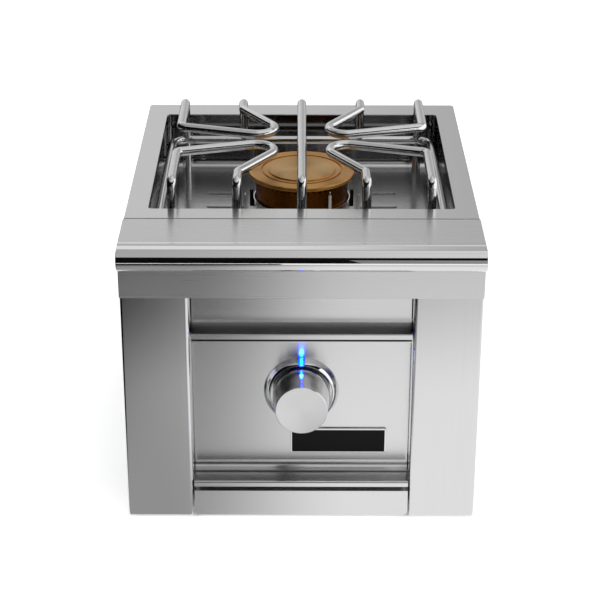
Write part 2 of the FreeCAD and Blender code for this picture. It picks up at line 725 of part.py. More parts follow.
def make_gas_line():
    # inlet fitting through the rear wall, line to the valve, feed up to the injector
    wall_front = casing_rear - d.gauge
    nut_front = wall_front - d.nut_length
    nipple = cylinder("Nipple", (line_x, casing_rear, knob_z), "y", d.fitting_radius, d.fitting_length)
    shoulder = cylinder("Shoulder", (line_x, wall_front, knob_z), "y", d.fitting_shoulder, d.gauge)
    nut = cylinder("Nut", (line_x, nut_front, knob_z), "y", d.nut_radius, d.nut_length)
    bore = cylinder("FittingBore", (line_x, nut_front, knob_z), "y", d.line_radius - d.line_wall,
                    d.nut_length + d.gauge + d.fitting_length)
    piece(cut("InletFitting", fuse("FittingSolid", nipple, shoulder, nut), bore), "inlet_fitting")
    boss = d.valve_width / 2 + d.valve_boss
    line = [(vector(line_x, nut_front, knob_z), 0),
            (vector(line_x, valve_middle, knob_z), d.line_bend.number),
            (vector(boss, valve_middle, knob_z), 0)]
    piece(tube("GasLine", line, d.line_radius.number, d.line_wall.number), "gas_line")
    start, end = valve_rear + d.valve_boss, feed_end
    rise_y = start + d.feed_run
    feed = [(vector(0, start, knob_z), 0), (vector(0, rise_y, knob_z), d.feed_bend.number),
            (vector(0, rise_y, mixer_z), d.feed_bend.number), (vector(0, end, mixer_z), 0)]
    piece(tube("FeedTube", feed, d.feed_radius.number, d.line_wall.number), "feed_tube")
    solid = cylinder("InjectorBody", (0, end, mixer_z), "y", d.injector_radius,
                     d.injector_length - d.injector_cone)
    tip = cone("InjectorTip", (0, jet_y - d.injector_cone, mixer_z), "y", d.injector_radius,
               d.injector_radius / 2, d.injector_cone)
    jet = cylinder("Jet", (0, end, mixer_z), "y", d.injector_bore, d.injector_length)
    piece(cut("Injector", fuse("InjectorSolid", solid, tip), jet), "injector")
    half = d.plate_width / 2
    face = end + d.plate_gauge
    plate = box("InjectorPlate", (-half, face, mixer_z - half), (half, face + d.plate_gauge, well_under))
    foot = box("PlateFoot", (-half, face, well_under - d.plate_gauge), (half, jet_y, well_under))
    hole = cylinder("InjectorHole", (0, end, mixer_z), "y", d.injector_radius, d.injector_length)
    piece(cut("InjectorBracket", fuse("PlateSolid", plate, foot), hole), "injector_bracket")


def make_burner():
    cap = body("burner_cap")
    disc, groove, rim = d.cap_disc_radius, d.cap_groove_radius, d.cap_radius
    half_groove = d.cap_groove_width / 2
    skirt = d.head_radius - d.head_wall - d.head_fit
    profile = sketch_on(cap, "XZ_Plane", "Profile", -burner_y)
    low_skirt = cap_foot - d.cap_skirt_height
    outline(profile, [(0, cap_top + d.cap_disc_rise), (disc, cap_top + d.cap_disc_rise, d.cap_disc_rise / 2),
                      (disc, cap_top), (groove - half_groove, cap_top),
                      (groove - half_groove, cap_top - d.cap_groove_depth),
                      (groove + half_groove, cap_top - d.cap_groove_depth), (groove + half_groove, cap_top),
                      (rim, cap_top, d.cap_edge / 3), (rim, cap_foot, d.cap_edge / 3), (skirt, cap_foot),
                      (skirt, low_skirt), (skirt - d.head_wall, low_skirt), (skirt - d.head_wall, cap_foot),
                      (0, cap_foot)])
    revolve(cap, profile)
    head = body("burner_head")
    profile = sketch_on(head, "XZ_Plane", "Profile", -burner_y)
    inner = d.head_radius - d.head_wall
    outline(profile, rectangle(inner, head_foot, d.head_radius, cap_foot))
    revolve(head, profile)
    port = sketch_on(head, "XZ_Plane", "Port", -burner_y + d.head_radius + 1)
    half = d.port_width / 2
    outline(port, rectangle(-half, cap_foot - d.port_depth, half, cap_foot + 1))
    slot = pocket(head, port, d.head_wall + 3)
    ring = head.newObject("PartDesign::PolarPattern", "Ports")
    ring.Originals = [slot]
    ring.Axis = (profile, ["V_Axis"])
    ring.Angle = 360
    bind(ring, "Occurrences", d.ports)
    head.Tip = ring
    base = body("burner_base")
    profile = sketch_on(base, "XZ_Plane", "Profile", -burner_y)
    hollow = d.base_radius - d.base_wall
    outline(profile, [(0, base_foot), (d.base_radius, base_foot), (d.base_radius, head_foot - d.base_flange),
                      (d.head_radius, head_foot - d.base_flange), (d.head_radius, head_foot),
                      (hollow, head_foot), (hollow, base_foot + d.base_wall), (0, base_foot + d.base_wall)])
    revolve(base, profile)
    mouth = sketch_on(base, "XZ_Plane", "MixerHole", -burner_y + d.base_radius + 1)
    circle_on(mouth, 0, mixer_z, d.mixer_radius)
    pocket(base, mouth, d.base_radius)
    screws_x = (-d.base_radius / 2, d.base_radius / 2)
    under = sketch_on(base, "XY_Plane", "ScrewHoles", base_foot)
    for x in screws_x:
        circle_on(under, x, burner_y, d.screw_radius)
    pocket(base, under, d.base_wall - 1, back=True)
    mixer_start = jet_y + d.jet_gap
    shutter_in = d.mixer_radius + d.stem_clearance
    shutter_out = shutter_in + d.shutter_wall
    shutter_start = mixer_start + d.shutter_wall
    window_end = shutter_start + d.shutter_length - d.shutter_wall
    window_half = d.shutter_window / 2
    length = burner_y - hollow - mixer_start
    for name, node, start, outer, inner, long in (
            ("Mixer", "mixer_tube", mixer_start, d.mixer_radius, d.mixer_radius - d.mixer_wall, length),
            ("Shutter", "air_shutter", shutter_start, shutter_out, shutter_in, d.shutter_length)):
        window = box(name + "Window", (-shutter_out, shutter_start + d.shutter_wall, mixer_z - window_half),
                     (shutter_out, window_end, mixer_z + window_half))
        piece(cut(name, cylinder(name + "Outside", (0, start, mixer_z), "y", outer, long),
                  cylinder(name + "Inside", (0, start, mixer_z), "y", inner, long), window), node)
    half, span, gauge = d.bridge_width / 2, collar_out + d.bridge_gap, d.bridge_gauge
    strap = [box("Strap", (-span, burner_y - half, base_foot - gauge), (span, burner_y + half, base_foot))]
    for side in (-1, 1):
        near, far = across(side, span - gauge, span)
        strap.append(box("StrapLeg", (near, burner_y - half, base_foot), (far, burner_y + half, well_under)))
        near, far = across(side, span, span + d.bridge_foot)
        strap.append(box("StrapFoot", (near, burner_y - half, well_under - gauge),
                         (far, burner_y + half, well_under)))
    starts = [(x, burner_y, base_foot - gauge) for x in screws_x]
    length = gauge + d.base_wall - 1
    holes = [cylinder("StrapHole", start, "z", d.screw_radius, length) for start in starts]
    piece(cut("BurnerBridge", fuse("StrapSolid", *strap), *holes), "burner_bridge")
    piece(group("BurnerScrews", [screw(start, "z", length) for start in starts]), "burner_screws")


def make_ignition():
    y, x, radius = electrode_y(), d.electrode_x, d.electrode_radius
    foot, head = well_under - d.electrode_below, cap_foot - d.electrode_top
    piece(cylinder("Ceramic", (x, y, foot), "z", radius, head - foot), "electrode_ceramic")
    toward = vector(0, burner_y, 0) - vector(x, y, 0)
    toward.normalize()
    bend_at = vector(x, y, head + d.electrode_top / 2)
    hook = bend_at + toward * d.electrode_hook.number
    wire = bent_wire([(vector(x, y, head), 0), (bend_at, radius.number), (hook, 0)])
    piece(solid_feature("ElectrodeTip", swept(wire, radius.number / 2)), "electrode_tip")
    half = d.holder_half
    plate = box("HolderPlate", (x - half, y - half, well_under - d.holder_gauge),
                (x + half, y + half, well_under))
    piece(cut("ElectrodeHolder", plate, cylinder("HolderHole", (x, y, foot), "z", radius, head - foot)),
          "electrode_holder")
    wall = -casing_inner
    module_y, module_z = casing_front + d.module_setback, top - d.module_drop
    module = box("Module", (wall, module_y, module_z),
                 (wall + d.module_width, module_y + d.module_length, module_z + d.module_height))
    piece(module, "ignition_module")
    lead_y = module_y + d.module_length / 2
    lead_z = module_z + d.module_height - d.lead_drop
    lead = [(vector(wall + d.module_width, lead_y, lead_z), 0),
            (vector(x, lead_y, lead_z), d.lead_bend.number),
            (vector(x, y, lead_z), d.lead_bend.number), (vector(x, y, foot), 0)]
    piece(solid_feature("IgnitionLead", swept(bent_wire(lead), d.lead_radius.number)), "ignition_lead")


def make_grate():
    # a ring of rod in the well carries five bent rods that a pan stands on
    def at(x, y, z):
        return vector(x, burner_y + y, z)

    ring, half, corner, radius = ring_half, grate_half, d.ring_corner.number, d.rod_radius.number
    loop = [(at(0, -half, ring_z), 0), (at(ring, -half, ring_z), corner), (at(ring, half, ring_z), corner),
            (at(-ring, half, ring_z), corner), (at(-ring, -half, ring_z), corner), (at(0, -half, ring_z), 0)]
    ring_solid = swept(bent_wire(loop), radius)
    piece(solid_feature("GrateRing", ring_solid), "grate_ring")
    leg, side_bend = (d.rod_radius + d.leg_bend_inside).number, d.side_bend.number
    middle = [(at(0, -half, ring_z), 0), (at(0, -half, grate_z), leg), (at(0, half, grate_z), leg),
              (at(0, half, ring_z), 0)]
    piece(solid_feature("MiddleRod", swept(bent_wire(middle), radius).cut(ring_solid)), "grate_rod_middle")
    outer = ring - d.rod_inset
    inner = outer / 2
    for x_way, x_name in ((-1, "left"), (1, "right")):
        for y_way, y_name in ((-1, "front"), (1, "rear")):
            path = [(outer, half, ring_z, 0), (outer, half, grate_z, leg),
                    (outer, d.outer_turn, grate_z, side_bend), (d.tip_x, d.tip_y, grate_z, d.tip_bend.number),
                    (inner, half - d.inner_turn, grate_z, side_bend), (inner, half, grate_z, leg),
                    (inner, half, ring_z, 0)]
            points = [(at(x * x_way, y * y_way, z), bend) for x, y, z, bend in path]
            shape = swept(bent_wire(points), radius).cut(ring_solid)
            piece(solid_feature("Finger", shape), f"grate_finger_{y_name}_{x_name}")
    feet = []
    for x_way in (-1, 1):
        for y_way in (-1, 1):
            low, high = at(outer * x_way, half * y_way, well_floor), at(outer * x_way, half * y_way, ring_z)
            post = Part.makeCylinder(radius, high.z - low.z, low, FreeCAD.Vector(0, 0, 1))
            feet.append(post.cut(ring_solid))
    piece(solid_feature("GrateFeet", Part.makeCompound([foot.Solids[0] for foot in feet])), "grate_feet")


def make_casing():
    for side, node in ((-1, "casing_left"), (1, "casing_right")):
        wall = body(node)
        profile = sketch_on(wall, "XY_Plane", "Profile")
        outer, inner, gauge = casing_half * side, casing_inner * side, d.gauge
        flange = (casing_half - d.casing_flange) * side
        folded = casing_front + gauge
        outline(profile, [(outer, casing_rear), (outer, casing_front), (flange, casing_front),
                          (flange, folded), (inner, folded), (inner, casing_rear)])
        pad(wall, profile, wall_top)
        holes = sketch_on(wall, "YZ_Plane", "FixingHoles", outer)
        for y_way in (-1, 1):
            for z_way in (-1, 1):
                circle_on(holes, y_way * d.fixing_pitch_y / 2, top / 2 + z_way * d.fixing_pitch_z / 2,
                          d.fixing_radius)
        pocket(wall, holes, gauge * 2, back=side < 0)
    rear = box("RearSheet", (-casing_inner, casing_rear - d.gauge, 0), (casing_inner, casing_rear, wall_top))
    hole = cylinder("InletHole", (line_x, casing_rear - d.gauge * 2, knob_z), "y", d.fitting_shoulder,
                    d.gauge * 3)
    piece(cut("RearWall", rear, hole), "casing_rear")
    start = flange_face + d.gauge + d.slide_gap
    end = casing_rear - d.gauge
    piece(box("BasePlate", (-casing_inner, start, 0), (casing_inner, end, d.gauge)), "base_plate")
    shield_z = top - d.shield_drop
    end = start + d.shield_depth
    level = box("ShieldTop", (-casing_inner, start, shield_z), (casing_inner, end, shield_z + d.gauge))
    lip = box("ShieldLip", (-casing_inner, end - d.gauge, shield_z - d.shield_lip),
              (casing_inner, end, shield_z))
    piece(fuse("HeatShield", level, lip), "heat_shield")


def make_tray():
    half, wall = leg_inner - d.tray_side, d.tray_wall
    near = leg_face + d.gauge
    far = near + d.tray_length
    pan = body("drip_tray")
    sketch = sketch_on(pan, "XY_Plane", "Outside", d.tray_lift)
    outline(sketch, rectangle(-half, near, half, far))
    pad(pan, sketch, d.tray_depth)
    for side in (-1, 1):
        rim = sketch_on(pan, "XY_Plane", "Rim", tray_top - wall)
        outline(rim, rectangle(half * side, near, (half + d.tray_rim) * side, far))
        pad(pan, rim, wall)
    inside = sketch_on(pan, "XY_Plane", "Inside", tray_top)
    inner = half - wall
    outline(inside, rectangle(-inner, near + wall, inner, far - wall, d.tray_corner))
    pocket(pan, inside, d.tray_depth - wall)
    front = body("tray_front")
    sketch = sketch_on(front, "XZ_Plane", "Face", -near)
    corner = d.tray_front_corner
    outline(sketch, [(-bay_half, d.tray_foot_gap, corner), (bay_half, d.tray_foot_gap, corner),
                     (bay_half, tray_front_top), (-bay_half, tray_front_top)])
    pad(front, sketch, d.gauge)
    hem = sketch_on(front, "YZ_Plane", "Hem")
    outline(hem, rectangle(leg_face, tray_front_top - d.gauge, leg_face + d.tray_hem, tray_front_top))
    pad(front, hem, bay_half * 2, middle=True)
    for side, node in ((-1, "runner_left"), (1, "runner_right")):
        runner = body(node)
        web = (half + d.tray_rim + d.runner_gap) * side
        ledge = web - d.runner_ledge * side
        ledge_top = tray_top - wall - d.slide_gap
        thick = d.gauge * side
        foot = web + d.runner_foot * side
        profile = sketch_on(runner, "XZ_Plane", "Profile", -(flange_face + d.gauge + d.slide_gap))
        outline(profile, [(ledge, ledge_top), (ledge, ledge_top - d.gauge), (web, ledge_top - d.gauge),
                          (web, d.gauge), (foot, d.gauge), (foot, d.gauge * 2), (web + thick, d.gauge * 2),
                          (web + thick, ledge_top)])
        pad(runner, profile, casing_rear - d.gauge - (flange_face + d.gauge + d.slide_gap), back=True)


for build in (make_top_deck, make_well_pan, make_collar, make_front_nose, make_nose_ends, make_legs, make_bay,
              make_badge, make_bezel_and_lamp, make_knob, make_valve, make_gas_line, make_burner,
              make_ignition, make_grate, make_casing, make_tray):
    build()

doc.recompute()
for item in doc.Objects:
    if set(item.State) & {"Invalid", "Error"}:
        raise RuntimeError(item.Name + " failed: " + str(item.State))
for item in pieces:
    if item.Shape.isNull() or not item.Shape.isValid():
        raise RuntimeError(item.Label + " has no valid shape")

os.makedirs("parts", exist_ok=True)
for item in pieces:
    item.Shape.exportStep(os.path.join("parts", item.Label + ".step"))
    print(item.Label, len(item.Shape.Solids), round(item.Shape.Volume / 1000, 1))
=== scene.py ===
# Looks of the built-in side burner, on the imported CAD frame.
# Metres. X runs across the unit, Y to the rear, Z up from the surface that it stands on.

import math

import bmesh
import bpy
import numpy as np
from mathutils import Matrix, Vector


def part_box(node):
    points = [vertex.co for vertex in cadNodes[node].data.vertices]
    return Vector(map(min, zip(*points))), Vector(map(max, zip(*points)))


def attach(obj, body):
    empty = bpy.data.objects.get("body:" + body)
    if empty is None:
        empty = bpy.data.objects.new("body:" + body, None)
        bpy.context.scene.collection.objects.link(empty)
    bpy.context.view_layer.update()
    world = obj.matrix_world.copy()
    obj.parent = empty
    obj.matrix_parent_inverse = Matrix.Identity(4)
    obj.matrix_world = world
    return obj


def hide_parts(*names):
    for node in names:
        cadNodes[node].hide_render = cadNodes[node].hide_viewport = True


mm = 0.001
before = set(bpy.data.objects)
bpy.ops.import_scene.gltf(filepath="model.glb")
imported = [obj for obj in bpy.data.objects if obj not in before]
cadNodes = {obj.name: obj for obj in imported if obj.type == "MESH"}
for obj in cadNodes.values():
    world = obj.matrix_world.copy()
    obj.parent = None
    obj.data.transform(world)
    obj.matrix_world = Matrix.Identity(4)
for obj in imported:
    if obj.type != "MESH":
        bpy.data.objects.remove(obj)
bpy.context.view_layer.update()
print("frame loaded:", len(cadNodes), "nodes")


def linearColour(hexColour):
    # sRGB hex to the linear colour that a shader socket takes
    parts = np.array([int(hexColour[i:i + 2], 16) for i in (1, 3, 5)]) / 255
    linear = np.where(parts <= 0.04045, parts / 12.92, ((parts + 0.055) / 1.055) ** 2.4)
    return (*linear.tolist(), 1.0)


def addNode(tree, kind, settings=(), values=(), links=()):
    # one node with its properties, its socket values, and the output that feeds each linked socket
    node = tree.nodes.new(kind)
    for name, value in dict(settings).items():
        setattr(node, name, value)
    for socket, value in dict(values).items():
        node.inputs[socket].default_value = value
    for socket, output in dict(links).items():
        tree.links.new(output, node.inputs[socket])
    return node


def startMaterial(name, colour, metallic, roughness, **others):
    # a Principled material with its plain values set on the shader's own sockets
    material = bpy.data.materials.new(name)
    material.use_nodes = True
    tree = material.node_tree
    shader = tree.nodes["Principled BSDF"]
    shader.inputs["Base Color"].default_value = linearColour(colour)
    shader.inputs["Metallic"].default_value = metallic
    shader.inputs["Roughness"].default_value = roughness
    for socket, value in others.items():
        shader.inputs[socket.replace("_", " ")].default_value = value
    return material, tree, shader


def scaledPattern(tree, kind, scale, **values):
    # a texture on Object coordinates, with its scale given per metre along X, Y and Z
    place = addNode(tree, "ShaderNodeTexCoord").outputs["Object"]
    spread = addNode(tree, "ShaderNodeMapping", values={"Scale": scale}, links={"Vector": place})
    return addNode(tree, kind, values=values, links={"Vector": spread.outputs["Vector"]})


def remap(tree, output, low, high, fromLow=0.0, fromHigh=1.0):
    ends = {"From Min": fromLow, "From Max": fromHigh, "To Min": low, "To Max": high}
    return addNode(tree, "ShaderNodeMapRange", values=ends, links={"Value": output}).outputs["Result"]


# what a noise texture's values nearly all lie between
noiseSpan = (0.3, 0.7)


def spreadColour(tree, colour, low, high, level):
    # the colour times low where the pattern's level is 0, and times high where it is 1
    base = np.array(linearColour(colour))[:3]
    ends = [(*np.minimum(base * share, 1).tolist(), 1) for share in (low, high)]
    mix = addNode(tree, "ShaderNodeMix", {"data_type": "RGBA"}, {6: ends[0], 7: ends[1]}, {0: level})
    return mix.outputs[2]


def addBump(tree, shader, height, strength, depth):
    # relief of that real depth in metres, from a pattern's level
    bump = addNode(tree, "ShaderNodeBump", values={"Strength": strength, "Distance": depth},
                   links={"Height": height})
    tree.links.new(bump.outputs["Normal"], shader.inputs["Normal"])


def nodeBox(node):
    # the lowest and the highest corner of a CAD node at rest
    return tuple(np.array(corner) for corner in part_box(node))


# stage: pale floor, soft lamps, and a dome, flags and floor tones that only the metal mirrors

stageSet = {
    "floorHalf": 12.0, "floorDrop": 0.2 * mm, "floorShade": 1.5, "floorGlow": 0.22, "floorBounce": 0.72,
    "worldFill": 0.55, "domeSteps": (41, 17),
}


def meshFromGrid(name, points):
    # a quad between each four neighbours of a grid of points
    index = np.arange(points.shape[0] * points.shape[1]).reshape(points.shape[:2])
    quads = np.stack([index[:-1, :-1], index[:-1, 1:], index[1:, 1:], index[1:, :-1]], axis=-1).reshape(-1, 4)
    mesh = bpy.data.meshes.new(name)
    mesh.from_pydata(points.reshape(-1, 3).tolist(), [], quads.tolist())
    mesh.polygons.foreach_set("use_smooth", np.ones(len(mesh.polygons), bool))
    mesh.update()
    return mesh


def showPiece(name, mesh, material):
    piece = bpy.data.objects.new(name, mesh)
    bpy.context.scene.collection.objects.link(piece)
    piece.data.materials.append(material)
    return piece


def seenRays(tree):
    # 1 for what the camera, the metal or the glass sees, and 0 for light on its way to a surface
    path = addNode(tree, "ShaderNodeLightPath")
    seen = path.outputs["Is Camera Ray"]
    for kind in ("Is Glossy Ray", "Is Transmission Ray"):
        seen = addNode(tree, "ShaderNodeMath", {"operation": "MAXIMUM"},
                       links={0: seen, 1: path.outputs[kind]}).outputs[0]
    return seen


def makeFloor():
    # white paper: plain diffuse for the light that it sends up, white with the shadow kept for what is seen
    material = bpy.data.materials.new("whiteStudioPaper")
    material.use_nodes = True
    tree = material.node_tree
    tree.nodes.clear()
    glow = addNode(tree, "ShaderNodeEmission", values={
        "Color": (1, 1, 1, 1), "Strength": stageSet["floorGlow"]})
    bounce, shade = (addNode(tree, "ShaderNodeBsdfDiffuse", values={"Color": (level, level, level, 1)})
                     for level in (stageSet["floorBounce"], stageSet["floorShade"]))
    lit = addNode(tree, "ShaderNodeAddShader", links={0: shade.outputs[0], 1: glow.outputs[0]})
    both = addNode(tree, "ShaderNodeMixShader", links={
        "Fac": seenRays(tree), 1: bounce.outputs[0], 2: lit.outputs[0]})
    addNode(tree, "ShaderNodeOutputMaterial", links={"Surface": both.outputs[0]})
    half = stageSet["floorHalf"]
    across, along = np.meshgrid(np.linspace(-half, half, 3), np.linspace(-half, half, 3), indexing="ij")
    points = np.stack([across, along, across * 0 - stageSet["floorDrop"]], -1)
    floor = showPiece("floor", meshFromGrid("floor", points), material)


def makeWorld():
    world = bpy.data.worlds.new("studioWorld")
    bpy.context.scene.world = world
    world.use_nodes = True
    tree = world.node_tree
    background = tree.nodes["Background"]
    background.inputs["Color"].default_value = (1, 1, 1, 1)
    tree.links.new(remap(tree, seenRays(tree), stageSet["worldFill"], 1.0), background.inputs["Strength"])


# each lamp: where it hangs, what it points at, its two sides in metres, its watts
studioLamps = {
    "overheadSoftbox": dict(place=(0.1, -0.2, 2.1), target=(0, 0, 0.2), sides=(1.8, 1.4), watts=9.0),
    "rightSoftbox": dict(place=(2.0, -0.9, 1.3), target=(0, 0, 0.2), sides=(1.0, 1.6), watts=6.0),
    "leftSoftbox": dict(place=(-2.0, -0.5, 1.4), target=(0, 0, 0.2), sides=(0.7, 1.4), watts=3.0),
}


def makeLamps():
    for name, lamp in studioLamps.items():
        light = bpy.data.lights.new(name, "AREA")
        light.shape = "RECTANGLE"
        light.size, light.size_y = lamp["sides"]
        light.energy = lamp["watts"]
        shown = bpy.data.objects.new(name, light)
        bpy.context.scene.collection.objects.link(shown)
        shown.visible_glossy = False    # the metal mirrors the dome and the flags instead
        way = np.array(lamp["target"]) - np.array(lamp["place"])
        flat = math.hypot(way[0], way[1])
        shown.location = lamp["place"]
        shown.rotation_euler = (math.atan2(flat, -way[2]), 0, math.atan2(way[1], way[0]) - math.pi / 2)


# dome, flags and floor tones: seen only in reflections, as a photographer hangs them round polished steel.
# a dome patch has azimuth (0 in front, growing to the right) and elevation in degrees; 90 to 180 is over the
# top to the rear. a glow goes smoothly from its first level to its second, between its two places on one axis
studioDome = {
    "shell": dict(azimuth=(-180, 180), elevation=(0, 90), radius=2.75, glow=(0.15, 1.1, "X", -2.2, 2.4)),
    "frontDark": dict(azimuth=(-80, 80), elevation=(24, 48), radius=2.60, glow=(0.006, 0.006, "X", 0, 1)),
    "ceiling": dict(azimuth=(-70, 70), elevation=(48, 131), radius=2.60, glow=(0.52, 0.84, "X", -0.4, 0.4)),
    "rearUpper": dict(azimuth=(-70, 70), elevation=(131, 140), radius=2.60, glow=(0.40, 0.40, "X", 0, 1)),
    "backdropHigh": dict(azimuth=(-70, 70), elevation=(140, 151), radius=2.60,
                         glow=(0.95, 0.52, "X", -0.1, 0.5)),
    "backdropLow": dict(azimuth=(-70, 70), elevation=(151, 162), radius=2.60,
                        glow=(0.72, 0.50, "X", -0.5, 0.5)),
    "rearGlow": dict(azimuth=(-70, 70), elevation=(162, 179.5), radius=2.60,
                     glow=(0.78, 0.62, "X", -0.5, 0.5)),
}
# a flat card has two low corners, left then right, and the two above or behind them
studioCards = {
    "frontLow": dict(corners=((-1.8, -0.87, 0.185), (0.079, -0.87, 0.185), (-1.8, -1.2, 0.86),
                              (0.07, -1.2, 0.86)), glow=(0.004, 0.004, "X", 0, 1)),
    "frontLowRight": dict(corners=((0.079, -0.88, 0.185), (0.9, -0.88, 0.185), (0.07, -1.2, 0.72),
                                   (0.9, -1.2, 0.72)), glow=(0.27, 0.4, "X", 0, 0.5)),
    "leftWall": dict(corners=((-0.9, -1.2, 0.0), (-0.9, 1.0, 0.0), (-0.9, -1.2, 0.9), (-0.9, 1.0, 0.9)),
                     glow=(0.004, 0.004, "X", 0, 1)),
    "rightWall": dict(corners=((0.95, 1.0, 0.0), (0.95, -1.2, 0.0), (0.95, 1.0, 0.9), (0.95, -1.2, 0.9)),
                      glow=(1.4, 1.4, "X", 0, 1)),
    "floorBehind": dict(corners=((-2.5, 0.26, 0.001), (2.5, 0.26, 0.001), (-2.5, 2.5, 0.001),
                                 (2.5, 2.5, 0.001)), glow=(0.10, 0.30, "X", -0.5, 0.5)),
    "floorFarRight": dict(corners=((-0.03, -3.0, 0.001), (1.6, -3.0, 0.001), (-0.03, -1.021, 0.001),
                                   (1.6, -1.021, 0.001)), glow=(1.2, 1.2, "X", 0, 1)),
    "floorFarLeft": dict(corners=((-1.6, -1.5, 0.001), (-0.03, -1.5, 0.001), (-1.6, -1.021, 0.001),
                                  (-0.03, -1.021, 0.001)), glow=(0.01, 0.01, "X", 0, 1)),
}
# the paper just in front, as the metal mirrors it: its far part falls off to black on the left, its near part
# only to grey
floorTone = dict(corners=((-1.6, -1.02, 0.001), (1.6, -1.02, 0.001), (-1.6, -0.2, 0.001), (1.6, -0.2, 0.001)),
                 far=(0.07, 0.72, "X", -0.15, 0.09), near=(0.38, 1.02, "X", -0.14, 0.06),
                 between=("Y", -0.78, -0.44), edge=("X", -0.36, -0.19))


def smoothRamp(tree, axis, start, end, low, high):
    # a level that eases from low at start to high at end along an axis of the object
    place = addNode(tree, "ShaderNodeTexCoord").outputs["Object"]
    apart = addNode(tree, "ShaderNodeSeparateXYZ", links={0: place})
    ramp = addNode(tree, "ShaderNodeMapRange", {"interpolation_type": "SMOOTHSTEP"},
                   {"From Min": start, "From Max": end}, {"Value": apart.outputs[axis]})
    for socket, level in (("To Min", low), ("To Max", high)):
        if isinstance(level, float):
            ramp.inputs[socket].default_value = level
        else:
            tree.links.new(level, ramp.inputs[socket])
    return ramp.outputs["Result"]


def glowLevel(tree, glow):
    first, second, axis, start, end = glow
    return smoothRamp(tree, axis, start, end, float(first), float(second))


def makeGlowCard(name, points, glow, far=None, between=None, edge=None):
    # far takes over from glow between two places along an axis, and edge is where both rise out of black
    material = bpy.data.materials.new(name)
    material.use_nodes = True
    tree = material.node_tree
    tree.nodes.clear()
    level = glowLevel(tree, glow)
    if far:
        level = smoothRamp(tree, *between, glowLevel(tree, far), level)
    if edge:
        level = smoothRamp(tree, *edge, 0.0, level)
    shader = addNode(tree, "ShaderNodeEmission", values={"Color": (1, 1, 1, 1)}, links={"Strength": level})
    addNode(tree, "ShaderNodeOutputMaterial", links={"Surface": shader.outputs[0]})
    card = showPiece(name, meshFromGrid(name, points), material)
    card.visible_camera = card.visible_diffuse = card.visible_shadow = card.visible_transmission = False


def flatPatch(corners):
    # a point of a card is the mean of its corners, weighted by the shares of the way across and up
    across, up = np.meshgrid(np.linspace(0, 1, 3), np.linspace(0, 1, 3), indexing="ij")
    lowLeft, lowRight, highLeft, highRight = (np.array(corner) for corner in corners)
    across, up = across[..., None], up[..., None]
    return (1 - up) * ((1 - across) * lowLeft + across * lowRight) + up * ((1 - across) * highLeft
                                                                         + across * highRight)


def makeFlags():
    turnSteps, riseSteps = stageSet["domeSteps"]
    for name, patch in studioDome.items():
        # the point at azimuth a and elevation e is the radius times (|cos e| sin a, -cos e cos a, sin e)
        turn, rise = np.meshgrid(np.radians(np.linspace(*patch["azimuth"], turnSteps)),
                                 np.radians(np.linspace(*patch["elevation"], riseSteps)), indexing="ij")
        side = np.abs(np.cos(rise)) * np.sin(turn)
        points = patch["radius"] * np.stack([side, -np.cos(rise) * np.cos(turn), np.sin(rise)], -1)
        makeGlowCard(name, points, patch["glow"])
    for name, flat in studioCards.items():
        makeGlowCard(name, flatPatch(flat["corners"]), flat["glow"])
    makeGlowCard("floorTone", flatPatch(floorTone["corners"]), floorTone["near"], floorTone["far"],
                 floorTone["between"], floorTone["edge"])


# the photograph's camera, fitted to the deck and the posts; the picture is 600 x 600
photoCamera = dict(focalPixels=1774.3, picture=600, sensor=36, tilt=25.15, roll=0.12,
                   place=(-0.0016, -1.7615, 0.9804), clip=(0.05, 60))


def makeCamera():
    camera = bpy.data.cameras.new("photoCamera")
    camera.sensor_width = photoCamera["sensor"]
    camera.lens = photoCamera["sensor"] * photoCamera["focalPixels"] / photoCamera["picture"]
    camera.clip_start, camera.clip_end = photoCamera["clip"]
    shown = bpy.data.objects.new("photoCamera", camera)
    bpy.context.scene.collection.objects.link(shown)
    shown.location = photoCamera["place"]
    shown.rotation_mode = "XYZ"
    shown.rotation_euler = (math.radians(90 - photoCamera["tilt"]), 0, 0)
    shown.rotation_euler.rotate_axis("Z", math.radians(photoCamera["roll"]))
    bpy.context.scene.camera = shown


bpy.context.scene.view_settings.view_transform = "Standard"
makeCamera()
makeFloor()
makeWorld()
makeLamps()
makeFlags()
print("stage ready")


# brushed stainless steel, 304 with a number 4 finish: fine straight scratches that draw a highlight out
# across them

brushedSteel = {
    "colour": "#dcdcdc", "roughness": 0.28, "anisotropy": 0.85,
    "scratchWidth": 1.1 * mm,    # the real ones are 0.1 mm, drawn as coarse as they need to show
    "scratchLength": 160 * mm, "cloudWidth": 14 * mm, "cloudLength": 640 * mm, "cloudShare": 0.35,
    "tone": (0.98, 1.01), "glossSpread": 0.05, "bump": 0.1, "depth": 0.004 * mm,
}
acrossTheGrain = 0.25    # the turn of a brushed or turned metal's highlight against its tangent


